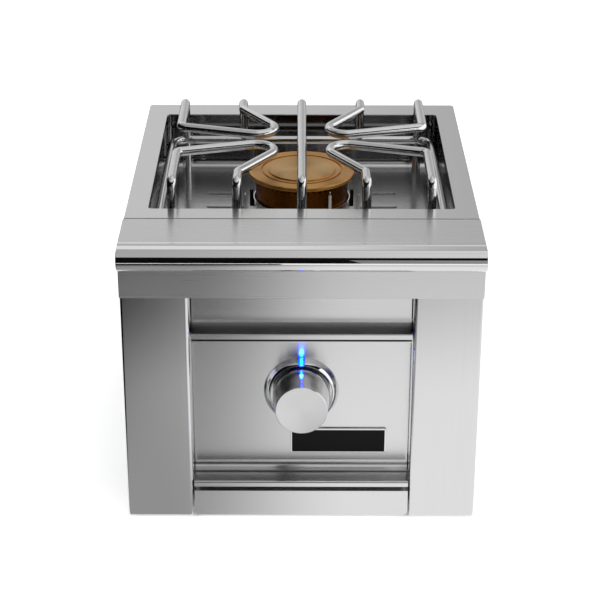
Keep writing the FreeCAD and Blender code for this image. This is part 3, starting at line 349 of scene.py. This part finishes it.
def makeBrushedSteel(name, grain, roughness=None, anisotropy=None, polished=(), paintedShade=None):
    # grain is the way that the scratches run; paintedShade gives painted shade: where along an axis the
    # sheet's colour falls to a share of itself
    look = brushedSteel
    roughness = roughness or look["roughness"]
    material, tree, shader = startMaterial(name, look["colour"], 1.0, roughness,
                                           Anisotropic=anisotropy or look["anisotropy"],
                                           Anisotropic_Rotation=acrossTheGrain)
    along = np.abs(np.array(grain, float))
    fine = tuple(along / look["scratchLength"] + (1 - along) / look["scratchWidth"])
    broad = tuple(along / look["cloudLength"] + (1 - along) / look["cloudWidth"])
    scratches = scaledPattern(tree, "ShaderNodeTexNoise", fine, Scale=1.0, Detail=3.0, Roughness=0.6)
    clouds = scaledPattern(tree, "ShaderNodeTexNoise", broad, Scale=1.0, Detail=2.0, Roughness=0.5)
    cloudy = look["cloudShare"]
    mixed = addNode(tree, "ShaderNodeMath", {"operation": "MULTIPLY_ADD"}, {1: cloudy}, {
        0: clouds.outputs["Fac"], 2: remap(tree, scratches.outputs["Fac"], 0.0, 1 - cloudy)})
    level = remap(tree, mixed.outputs[0], 0, 1, *noiseSpan)
    colour = spreadColour(tree, look["colour"], *look["tone"], level)
    # painted shade: the base colour scaled down to that share past the end of the ramp
    if paintedShade:
        axis, start, end, share = paintedShade
        colour = addNode(tree, "ShaderNodeVectorMath", {"operation": "SCALE"}, links={
            0: colour, "Scale": smoothRamp(tree, axis, start, end, 1.0, share)}).outputs[0]
    tree.links.new(colour, shader.inputs["Base Color"])
    spread = roughness * look["glossSpread"]
    gloss = remap(tree, mixed.outputs[0], roughness - spread, roughness + spread, *noiseSpan)
    sheetGloss = gloss
    for axis, start, end, smooth in polished:
        # a bend or a roll is buffed after folding, so it mirrors more sharply than the flat sheet; None is
        # where that ends again
        gloss = smoothRamp(tree, axis, start, end, gloss, smooth or sheetGloss)
    tree.links.new(gloss, shader.inputs["Roughness"])
    addBump(tree, shader, scratches.outputs["Fac"], look["bump"], look["depth"])
    way = addNode(tree, "ShaderNodeCombineXYZ", values=dict(zip("XYZ", map(float, grain))))
    tree.links.new(way.outputs[0], shader.inputs["Tangent"])
    return material


plainMetal = dict(glossSpread=0.15, bump=0.6)


def makePlainMetal(name, colour, roughness, patch=9 * mm, spread=0.08, depth=0.0):
    # an unbrushed metal whose colour and gloss wander a little over patches of that size
    material, tree, shader = startMaterial(name, colour, 1.0, roughness)
    patches = scaledPattern(tree, "ShaderNodeTexNoise", (1 / patch,) * 3, Scale=1.0, Detail=4.0,
                            Roughness=0.6)
    level = remap(tree, patches.outputs["Fac"], 0, 1, *noiseSpan)
    tree.links.new(spreadColour(tree, colour, 1 - spread, 1 + spread, level), shader.inputs["Base Color"])
    wander = roughness * plainMetal["glossSpread"]
    tree.links.new(remap(tree, patches.outputs["Fac"], roughness - wander, roughness + wander, *noiseSpan),
                   shader.inputs["Roughness"])
    if depth:
        addBump(tree, shader, patches.outputs["Fac"], plainMetal["bump"], depth)
    return material


finishes = {
    # number 4 brushed sheet: soft streaks across the grain, sharper where a bend was buffed
    "acrossSteel": makeBrushedSteel("brushedStainlessAcross", (1, 0, 0), roughness=0.22, anisotropy=0.93),
    # the fascia under the roll gets painted shade: its colour falls to 0.9 of the sheet's
    "noseSteel": makeBrushedSteel("brushedNoseSteel", (1, 0, 0), paintedShade=("Z", 0.2820, 0.2800, 0.9), polished=(
        ("Y", -0.1885, -0.1900, 0.07), ("Y", -0.2040, -0.2070, 0.05), ("Z", 0.2815, 0.2805, None))),
    "hoodSteel": makeBrushedSteel("brushedHood", (1, 0, 0), roughness=0.16),
    "panelSteel": makeBrushedSteel("brushedPanel", (1, 0, 0), roughness=0.22),
    "leftPostSteel": makeBrushedSteel("brushedLeftPost", (0, 0, 1), 0.2, 0.95, polished=(
        ("X", -0.1744, -0.1752, 0.07), ("Y", -0.1955, -0.1945, None), ("X", -0.1148, -0.1140, 0.06))),
    "rightPostSteel": makeBrushedSteel("brushedRightPost", (0, 0, 1), 0.2, 0.95, polished=(
        ("X", 0.1744, 0.1752, 0.07), ("Y", -0.1955, -0.1945, None), ("X", 0.1148, 0.1140, 0.06))),
    # a drawn pan: a brushed floor, and walls that mirror more sharply, with painted shade that darkens them
    # to 0.3 of the floor's colour
    "wellSteel": makeBrushedSteel("drawnStainlessWell", (1, 0, 0), roughness=0.2, anisotropy=0.9,
                                  polished=(("Z", 0.2425, 0.2500, 0.07),), paintedShade=("Z", 0.2425, 0.2480, 0.3)),
    # sheet as it comes from the mill: dull grey with broad faint clouds
    "millSteel": makePlainMetal("millFinishSteel", "#b4b6b8", 0.42, patch=30 * mm, spread=0.05),
    # electropolished rod and chrome plate: mirrors, the rod's a little soft
    "rodSteel": makePlainMetal("electropolishedRod", "#d6d6d6", 0.12, patch=5 * mm, spread=0.04),
    "chrome": makePlainMetal("polishedChrome", "#dcdddf", 0.07, spread=0.02),
    # brass: the burner head a mottled deep brown, partly flame tint and partly painted shade from under the
    # cap; yellow and satin where it is forged
    "headBrass": makePlainMetal("brownBrassPaintedShade", "#8a4f14", 0.3, patch=2 * mm, spread=0.2, depth=0.02 * mm),
    "valveBrass": makePlainMetal("forgedValveBrass", "#c8a25e", 0.36, patch=4 * mm),
    # aluminium: pitted and dull as cast, smooth and pale as drawn
    "castAluminium": makePlainMetal("castAluminium", "#a6a7a8", 0.55, patch=1.5 * mm, spread=0.12,
                                    depth=0.08 * mm),
    "drawnAluminium": makePlainMetal("drawnAluminiumTube", "#c4c6c8", 0.32, patch=12 * mm),
    # oxide black: nearly black with a satin edge
    "blackenedSteel": makePlainMetal("blackenedPinSteel", "#2a2725", 0.4, patch=2 * mm),
}

mouldedSkin = dict(tone=(0.85, 1.1), bump=0.5)


def makeMouldedPlastic(name, colour, roughness, grainSize, depth, **others):
    # moulded plastic, rubber, enamel or glaze: an even skin with a fine texture from the mould or the firing
    material, tree, shader = startMaterial(name, colour, 0.0, roughness, **others)
    grain = scaledPattern(tree, "ShaderNodeTexNoise", (1 / grainSize,) * 3, Scale=1.0, Detail=2.0,
                          Roughness=0.5)
    level = grain.outputs["Fac"]
    tree.links.new(spreadColour(tree, colour, *mouldedSkin["tone"], level), shader.inputs["Base Color"])
    addBump(tree, shader, level, mouldedSkin["bump"], depth)
    return material


finishes["blackNylon"] = makeMouldedPlastic("mouldedBlackNylon", "#1d1d1f", 0.5, 0.8 * mm, 0.05 * mm)
finishes["blackEnamel"] = makeMouldedPlastic("blackEnamelField", "#080809", 0.4, 0.8 * mm, 0.02 * mm,
                                             Specular_IOR_Level=0.15)
finishes["siliconeSleeve"] = makeMouldedPlastic("blackSiliconeSleeve", "#191817", 0.62, 1.2 * mm, 0.03 * mm)
finishes["glazedCeramic"] = makeMouldedPlastic("glazedAluminaCeramic", "#e6e2da", 0.22, 3 * mm, 0.01 * mm)

litLens = dict(body="#2f7dff", middle="#2fe0ff", edge="#0018c8", span=(0.6 * mm, 2.4 * mm), roughness=0.25,
               strength=1.6)


def makeLitLens():
    # clear polycarbonate over a blue diode: white-cyan in the middle, deep blue at the edges
    material, tree, shader = startMaterial("litBlueLens", litLens["body"], 0.0, litLens["roughness"])
    place = addNode(tree, "ShaderNodeTexCoord").outputs["Object"]
    apart = addNode(tree, "ShaderNodeSeparateXYZ", links={0: place})
    side = addNode(tree, "ShaderNodeMath", {"operation": "ABSOLUTE"}, links={0: apart.outputs["X"]})
    glow = addNode(tree, "ShaderNodeMix", {"data_type": "RGBA"}, {
        6: linearColour(litLens["middle"]), 7: linearColour(litLens["edge"])},
        {0: remap(tree, side.outputs[0], 0, 1, *litLens["span"])})
    tree.links.new(glow.outputs[2], shader.inputs["Emission Color"])
    shader.inputs["Emission Strength"].default_value = litLens["strength"]
    return material


finishes["litLens"] = makeLitLens()

# folded sheet: the nose with its crease and roll, its end plates, and the two posts, bent to real radii

foldedSheet = {
    "gauge": 1.2 * mm, "arcStep": 7.5, "sharpAngle": 38.0, "seamGap": 0.9 * mm, "bend": 0.8 * mm,
    # the nose
    "noseRoll": 11.2 * mm, "crownDrop": 1.2 * mm, "edgeDrop": 0.1 * mm, "stripDrop": 0.85 * mm,
    "stripWidth": 1.6 * mm, "creaseBack": 60.9 * mm, "creaseRise": 0.35 * mm, "creaseWidth": 4.6 * mm,
    "creaseBend": 1.0 * mm, "fasciaBack": 16.5 * mm, "fasciaLean": 1.2 * mm, "fasciaBend": 1.25 * mm,
    "footBend": 0.9 * mm, "footTurn": 1.0 * mm, "plateHang": 12 * mm, "plateTuck": 1.3 * mm,
    # the posts
    "outerBend": 3.0 * mm, "innerBend": 4.0 * mm, "postOuter": 178.0 * mm, "postInner": 110.2 * mm,
    "flangeBack": 30.2 * mm, "flangeWidth": 10.7 * mm, "outerReturn": 46 * mm, "notchTop": 26 * mm,
    "notchDepth": 2.5 * mm,
}


def roundPath(corners):
    # straight runs between (u, v, radius) corners, with an arc that touches both runs at each radius
    points = [np.array(corners[0][:2], float)]
    for before, here, after in zip(corners, corners[1:], corners[2:]):
        middle, radius = np.array(here[:2], float), here[2]
        wayIn = middle - np.array(before[:2])
        wayOut = np.array(after[:2]) - middle
        wayIn, wayOut = wayIn / np.hypot(*wayIn), wayOut / np.hypot(*wayOut)
        turn = math.atan2(wayIn[0] * wayOut[1] - wayIn[1] * wayOut[0], wayIn @ wayOut)
        if radius <= 0:
            points.append(middle)
            continue
        run = radius * math.tan(abs(turn) / 2)
        centre = middle - wayIn * run + radius * math.copysign(1, turn) * np.array([-wayIn[1], wayIn[0]])
        steps = max(2, math.ceil(math.degrees(abs(turn)) / foldedSheet["arcStep"]))
        spoke = middle - wayIn * run - centre
        angle = np.linspace(0, turn, steps + 1)
        points += list(centre + np.stack([spoke[0] * np.cos(angle) - spoke[1] * np.sin(angle),
                                          spoke[0] * np.sin(angle) + spoke[1] * np.cos(angle)], -1))
    points.append(np.array(corners[-1][:2], float))
    return np.array(points)


def shiftPath(path, amount):
    # each point moved to the left of the path by the amount, and further at a sharp corner
    run = np.diff(path, axis=0)
    run /= np.hypot(*run.T)[:, None]
    left = np.stack([-run[:, 1], run[:, 0]], -1)
    before, after = np.vstack([left[:1], left]), np.vstack([left, left[-1:]])
    mean = before + after
    return path + amount * mean / np.sum(mean * after, -1)[:, None]


def finishMesh(name, points, faces, angle=foldedSheet["sharpAngle"]):
    # closed shell: doubles merged, faces turned outwards, smooth apart from its sharp edges
    mesh = bpy.data.meshes.new(name)
    mesh.from_pydata(points.tolist(), [], faces)
    work = bmesh.new()
    work.from_mesh(mesh)
    bmesh.ops.remove_doubles(work, verts=work.verts, dist=1e-7)
    bmesh.ops.recalc_face_normals(work, faces=work.faces)
    work.to_mesh(mesh)
    work.free()
    mesh.polygons.foreach_set("use_smooth", np.ones(len(mesh.polygons), bool))
    mesh.set_sharp_from_angle(angle=math.radians(angle))
    return mesh


def placeSection(section, along, axes):
    # a flat section put at a distance along the third axis; axes names what u and v are
    points = np.zeros((len(section), 3))
    first, second = ("XYZ".index(axis) for axis in axes)
    points[:, first], points[:, second] = section.T
    points[:, 3 - first - second] = along
    return points


def sheetShell(outer, inner, low, high, axes):
    # a sheet between two like paths, run from low to high: its skin, its two long edges and its two ends
    count = len(outer)
    points = np.vstack([placeSection(path, along, axes) for along in (low, high) for path in (outer, inner)])
    index = np.arange(4 * count).reshape(2, 2, count)
    loops = np.concatenate([index[:, 0], index[:, 1, ::-1], index[:, 0, :1]], axis=1)
    skin = np.stack([loops[0, :-1], loops[0, 1:], loops[1, 1:], loops[1, :-1]], -1)
    ends = [np.stack([index[end, 0, :-1], index[end, 0, 1:], index[end, 1, 1:], index[end, 1, :-1]], -1)
            for end in (0, 1)]
    return points, np.vstack([skin, *ends]).tolist()


def joinShells(shells):
    # several shells as one list of points and one of faces
    points, faces, start = [], [], 0
    for some, quads in shells:
        points.append(some)
        faces += [[corner + start for corner in face] for face in quads]
        start += len(some)
    return np.vstack(points), faces


def stackRings(rings):
    # a closed solid from like rings: quads between neighbours and one flat cap at each end
    count = len(rings[0])
    index = np.arange(len(rings) * count).reshape(len(rings), count)
    following = np.roll(index, -1, axis=1)
    skin = np.stack([index[:-1], following[:-1], following[1:], index[1:]], -1).reshape(-1, 4).tolist()
    return np.vstack(rings), skin + [index[0].tolist(), index[-1].tolist()]


def nosePath(deckTop, seam, front, fasciaFace, fasciaFoot):
    # from the seam, over the crease and round the roll, to the foot of the fascia: Y and Z
    look = foldedSheet
    roll, bend, creaseBend = look["noseRoll"], look["bend"], look["creaseBend"]
    low, edge, start = deckTop - look["crownDrop"], deckTop - look["edgeDrop"], seam - look["seamGap"]
    crease = seam - look["creaseBack"]
    valley = crease - look["creaseWidth"]
    return roundPath([
        (start, low, 0), (start, edge, bend), (crease, edge - look["edgeDrop"] - look["creaseRise"], bend),
        (valley, edge, creaseBend), (valley - look["stripWidth"], deckTop - look["stripDrop"], creaseBend),
        (front, low, roll), (front, low - 2 * roll, roll),
        (fasciaFace - look["fasciaLean"], low - 2 * roll, look["fasciaBend"]),
        (fasciaFace, fasciaFoot, look["footBend"]), (fasciaFace + look["footTurn"], fasciaFoot, 0)])


def makeNose(steel):
    look = foldedSheet
    gauge, radius = look["gauge"], look["bend"]
    low, high = nodeBox("front_nose")
    seam, front, top = high[1], low[1], high[2]
    fasciaFace, foot = front + look["fasciaBack"], low[2]
    outer = nosePath(top, seam, front, fasciaFace, foot)
    inner = shiftPath(outer, gauge)
    inner[:, 0] = np.where(outer[:, 1] < foot + look["footTurn"], fasciaFace + gauge, inner[:, 0])
    inner[:, 1] = np.maximum(inner[:, 1], foot)
    points, faces = sheetShell(outer, inner, low[0], high[0], "YZ")
    nose = showPiece("foldedNose", finishMesh("foldedNose", points, faces), steel)
    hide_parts("front_nose")
    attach(nose, "casing")
    # an end plate follows the nose's outside, and its outer edge is eased
    tuck = top - look["plateTuck"]
    back = np.array([(fasciaFace + gauge, foot), (fasciaFace + gauge, top - look["plateHang"]),
                     (seam + gauge, top - look["plateHang"]), (seam + gauge, tuck), (seam, tuck)])
    for node in ("nose_end_left", "nose_end_right"):
        plateLow, plateHigh = nodeBox(node)
        way = -1 if node.endswith("left") else 1
        start, end = (plateHigh[0], plateLow[0]) if way < 0 else (plateLow[0], plateHigh[0])
        rings = [placeSection(np.vstack([outer, back]), start, "YZ")]
        for angle in np.radians(np.linspace(0, 90, 6)):
            inset = shiftPath(outer, radius * (1 - math.cos(angle)))
            along = end - way * radius * (1 - math.sin(angle))
            rings.append(placeSection(np.vstack([inset, back]), along, "YZ"))
        plate = showPiece(node + "Plate", finishMesh(node + "Plate", *stackRings(rings)), steel)
        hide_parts(node)
        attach(plate, "casing")


def makePosts(steels):
    look = foldedSheet
    for node, steel in steels.items():
        low, high = nodeBox(node)
        way = -1 if node.endswith("left") else 1
        outside, inside, face = look["postOuter"] * way, look["postInner"] * way, low[1]
        flange = face + look["flangeBack"]
        whole = [(outside, face + look["outerReturn"], 0), (outside, face, look["outerBend"]),
                 (inside, face, look["innerBend"]), (inside, flange, look["bend"]),
                 (inside - look["flangeWidth"] * way, flange, 0)]
        short = whole[:3] + [(inside, flange - look["notchDepth"], 0)]
        shells = []
        for corners, foot, head in ((short, low[2], look["notchTop"]), (whole, look["notchTop"], high[2])):
            outer = roundPath(corners)
            inner = shiftPath(outer, look["gauge"] * -way)
            shells.append(sheetShell(outer, inner, foot, head, "XY"))
        post = showPiece(node + "Post", finishMesh(node + "Post", *joinShells(shells)), steel)
        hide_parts(node)
        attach(post, "casing")


# turned pieces: the dished knob, and the bezel with its rounded face

turnedWork = {
    "segments": 160, "sharpAngle": 28.0,
    # the knob: its front is ahead of the solid's, and its flank swells from the face to the shoulder
    "knobFront": 5.0 * mm, "faceRadius": 25.9 * mm, "dish": 2.4 * mm, "faceEdge": 0.5 * mm, "swell": 1.2 * mm,
    "swellBack": 12 * mm, "shoulder": 29.0 * mm, "shoulderBack": 25 * mm, "flankRadius": 30 * mm,
    "backEdge": 1 * mm,
    # the bezel, from its bore outwards
    "bezelWidth": 6.8 * mm, "boreEdge": 0.9 * mm, "crownStart": 0.8 * mm, "boreRadius": 0.5 * mm,
    "crownMiddle": 3.7 * mm, "bezelCrown": 2.1 * mm, "crownRadius": 9 * mm, "rimInset": 0.3 * mm,
    "rimHeight": 0.6 * mm, "rimRadius": 0.8 * mm,
    # the cutter's grooves: real ones are 0.1 mm apart, drawn as coarse as they need to show
    "grooveWidth": 0.7 * mm, "grooveTone": (0.93, 1.03), "anisotropy": 0.85, "colourBlend": 1 * mm,
    "glossBlend": 0.6 * mm,
}


def turnProfile(profile, centre):
    # (radius, y) points turned about a line along Y through the centre's X and Z
    angle = np.linspace(0, 2 * np.pi, turnedWork["segments"], endpoint=False)
    radius, depth = profile.T
    points = np.stack([centre[0] + radius[:, None] * np.sin(angle), np.repeat(depth[:, None], len(angle), 1),
                       centre[2] + radius[:, None] * np.cos(angle)], -1)
    index = np.arange(points.shape[0] * len(angle)).reshape(points.shape[:2])
    return points.reshape(-1, 3), index


def turnRing(name, profile, centre, material, closed):
    # a closed profile turns into a ring; an open one starts on the axis and gets a flat back
    points, index = turnProfile(profile, centre)
    if closed:
        index = np.vstack([index, index[:1]])
    following = np.roll(index, -1, axis=1)
    faces = np.stack([index[:-1], following[:-1], following[1:], index[1:]], -1).reshape(-1, 4).tolist()
    if not closed:
        faces += [index[-1].tolist()]
    return showPiece(name, finishMesh(name, points, faces, turnedWork["sharpAngle"]), material)


def makeKnob(material):
    look = turnedWork
    low, high = nodeBox("knob")
    front, back = low[1] - look["knobFront"], high[1]
    face, shoulder, edge = look["faceRadius"], look["shoulder"], look["backEdge"]
    profile = roundPath([
        (0, front + look["dish"], 0), (face - look["faceEdge"], front, 0),
        (face, front + look["faceEdge"], 0),
        (face + look["swell"], front + look["swellBack"], look["flankRadius"]),
        (shoulder, front + look["shoulderBack"], look["flankRadius"]), (shoulder, back - edge, 0),
        (shoulder - edge, back, 0)])
    knob = turnRing("turnedKnob", profile, (low + high) / 2, material, False)
    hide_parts("knob")
    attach(knob, "knob")


def makeBezel(material):
    look = turnedWork
    low, high = nodeBox("knob_bezel")
    outer = (high[0] - low[0]) / 2
    inner, front, back = outer - look["bezelWidth"], low[1], high[1]
    profile = roundPath([
        (inner, back, 0), (inner, front + look["boreEdge"], 0),
        (inner + look["crownStart"], front, look["boreRadius"]),
        (inner + look["crownMiddle"], front + look["bezelCrown"], look["crownRadius"]),
        (outer - look["rimInset"], back - look["rimHeight"], look["rimRadius"]), (outer, back, 0)])
    bezel = turnRing("roundedBezel", profile, (low + high) / 2, material, True)
    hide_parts("knob_bezel")
    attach(bezel, "casing")


def makeTurnedMetal(name, colours, centre, axis, gloss, change):
    # turned on a lathe: the cutter leaves circular grooves, so a highlight fans out from the middle.
    # colours are the middle's and the rim's, and change is the radius where one gives way to the other;
    # gloss is the roughness before the centre along the axis and the one beyond it
    look = turnedWork
    before, beyond = gloss
    material, tree, shader = startMaterial(name, colours[1], 1.0, before, Anisotropic=look["anisotropy"],
                                           Anisotropic_Rotation=acrossTheGrain)
    way = {"Y": (0, 1, 0), "Z": (0, 0, 1)}[axis]
    place = addNode(tree, "ShaderNodeTexCoord").outputs["Object"]
    out = addNode(tree, "ShaderNodeVectorMath", {"operation": "SUBTRACT"}, {1: tuple(centre)}, {0: place})
    spoke = addNode(tree, "ShaderNodeVectorMath", {"operation": "MULTIPLY"},
                    {1: tuple(1 - part for part in way)}, {0: out.outputs[0]})
    turned = addNode(tree, "ShaderNodeVectorTransform", {"vector_type": "VECTOR", "convert_from": "OBJECT",
                                                         "convert_to": "WORLD"}, links={0: spoke.outputs[0]})
    around = addNode(tree, "ShaderNodeVectorMath", {"operation": "CROSS_PRODUCT"}, {0: way},
                     {1: turned.outputs[0]})
    around = addNode(tree, "ShaderNodeVectorMath", {"operation": "NORMALIZE"}, links={0: around.outputs[0]})
    tree.links.new(around.outputs[0], shader.inputs["Tangent"])
    radius = addNode(tree, "ShaderNodeVectorMath", {"operation": "LENGTH"}, links={0: spoke.outputs[0]})
    lines = addNode(tree, "ShaderNodeTexNoise", {"noise_dimensions": "1D"},
                    {"Scale": 1 / look["grooveWidth"], "Detail": 2.0}, {"W": radius.outputs["Value"]})
    near, far = change - look["colourBlend"], change + look["colourBlend"]
    blend = addNode(tree, "ShaderNodeMix", {"data_type": "RGBA"}, {
        6: linearColour(colours[0]), 7: linearColour(colours[1])},
        {0: remap(tree, radius.outputs["Value"], 0, 1, near, far)})
    shown = addNode(tree, "ShaderNodeVectorMath", {"operation": "SCALE"}, links={
        0: blend.outputs[2], "Scale": remap(tree, lines.outputs["Fac"], *look["grooveTone"], *noiseSpan)})
    tree.links.new(shown.outputs[0], shader.inputs["Base Color"])
    level = centre["XYZ".index(axis)]
    tree.links.new(smoothRamp(tree, axis, level - look["glossBlend"], level, before, beyond),
                   shader.inputs["Roughness"])
    return material


badgePlate = {
    "rim": 2.0 * mm, "corner": 2.4 * mm, "leastCorner": 0.3 * mm, "edge": 0.35 * mm, "edgeShare": 0.3,
    "sunk": 0.5 * mm, "inlayLap": 0.05 * mm, "inlayBack": 0.1 * mm, "inlayFront": -0.02 * mm,
}


def makeBadge(rimMaterial, fieldMaterial):
    # a bare plate: a polished rim round a sunk field
    look = badgePlate
    low, high = nodeBox("badge_plate")

    def outline(inset, depth):
        a, b, c, d = low[0] + inset, high[0] - inset, low[2] + inset, high[2] - inset
        corner = max(look["corner"] - inset, look["leastCorner"])
        middle = (a + b) / 2
        ring = roundPath([(middle, c, 0), (b, c, corner), (b, d, corner), (a, d, corner), (a, c, corner),
                          (middle, c, 0)])[:-1]
        return placeSection(ring, depth, "XZ")

    edge, rim, front = look["edge"], look["rim"], low[1]
    part = look["edgeShare"] * edge
    steps = [(0, high[1]), (0, front + edge), (part, front + part), (edge, front), (rim - edge, front),
             (rim - part, front + part), (rim, front + edge), (rim, front + look["sunk"])]
    points, faces = stackRings([outline(*step) for step in steps])
    plate = showPiece("badgeRim", finishMesh("badgeRim", points, faces), rimMaterial)
    field = [outline(rim - look["inlayLap"], front + look["sunk"] + look[side])
             for side in ("inlayBack", "inlayFront")]
    inlay = showPiece("badgeField", finishMesh("badgeField", *stackRings(field)), fieldMaterial)
    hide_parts("badge_plate")
    for piece, slot in ((plate, "stainless"), (inlay, "black_plastic")):
        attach(piece, "casing")


# the solids that no new piece stands for keep their shape and take a finish
nodeFinish = {
    "acrossSteel": "top_deck",
    "panelSteel": "control_panel lower_rail tray_front",
    "hoodSteel": "hood_panel",
    "wellSteel": "well_pan drip_tray",
    "millSteel": "casing_left casing_right casing_rear base_plate heat_shield runner_left runner_right "
                 "valve_bracket burner_bridge injector_bracket electrode_holder valve_screws burner_screws "
                 "air_shutter",
    "rodSteel": "grate_ring grate_rod_middle grate_finger_front_left grate_finger_front_right "
                "grate_finger_rear_left grate_finger_rear_right grate_feet valve_stem electrode_tip "
                "well_collar",
    "headBrass": "burner_head", "turnedBrass": "burner_cap",
    "valveBrass": "valve_body injector inlet_fitting",
    "castAluminium": "burner_base mixer_tube", "drawnAluminium": "gas_line feed_tube",
    "blackenedSteel": "collar_pins", "blackNylon": "lamp_housing ignition_module switch_collar",
    "siliconeSleeve": "ignition_lead", "glazedCeramic": "electrode_ceramic", "litLens": "lamp_lens",
}
# the knob's face and the burner's cap are turned about these points
knobLow, knobHigh = nodeBox("knob")
knobCentre = (0.0, float(knobLow[1]), float(knobLow[2] + knobHigh[2]) / 2)
capLow, capHigh = nodeBox("burner_cap")
capCentre = (float(capLow[0] + capHigh[0]) / 2, float(capLow[1] + capHigh[1]) / 2, float(capLow[2]))
finishes["turnedSteel"] = makeTurnedMetal("spunKnobSteel", ("#dedede", "#dedede"), knobCentre, "Y",
                                          (0.18, 0.1), 20 * mm)
finishes["turnedBrass"] = makeTurnedMetal("turnedBurnerBrass", ("#c39a60", "#c8944f"), capCentre, "Z",
                                          (0.33, 0.33), 33 * mm)
for finish, names in nodeFinish.items():
    for name in names.split():
        for slot in cadNodes[name].material_slots:
            slot.material = finishes[finish]
print("finishes on the frame")

makeNose(finishes["noseSteel"])
makePosts({"leg_left": finishes["leftPostSteel"], "leg_right": finishes["rightPostSteel"]})
makeKnob(finishes["turnedSteel"])
makeBezel(finishes["chrome"])
makeBadge(finishes["chrome"], finishes["blackEnamel"])
print("folded and turned pieces ready")


# the lamp's glow on the panel, the bezel and the knob

lampGlow = dict(place=(0, -0.1835, 0.1675), watts=0.035, radius=0.0025, colour="#0a30ff")


def makeLampGlow():
    light = bpy.data.lights.new("lampGlow", "POINT")
    light.energy = lampGlow["watts"]
    light.shadow_soft_size = lampGlow["radius"]
    light.color = linearColour(lampGlow["colour"])[:3]
    shown = bpy.data.objects.new("lampGlow", light)
    bpy.context.scene.collection.objects.link(shown)
    shown.location = lampGlow["place"]


makeLampGlow()
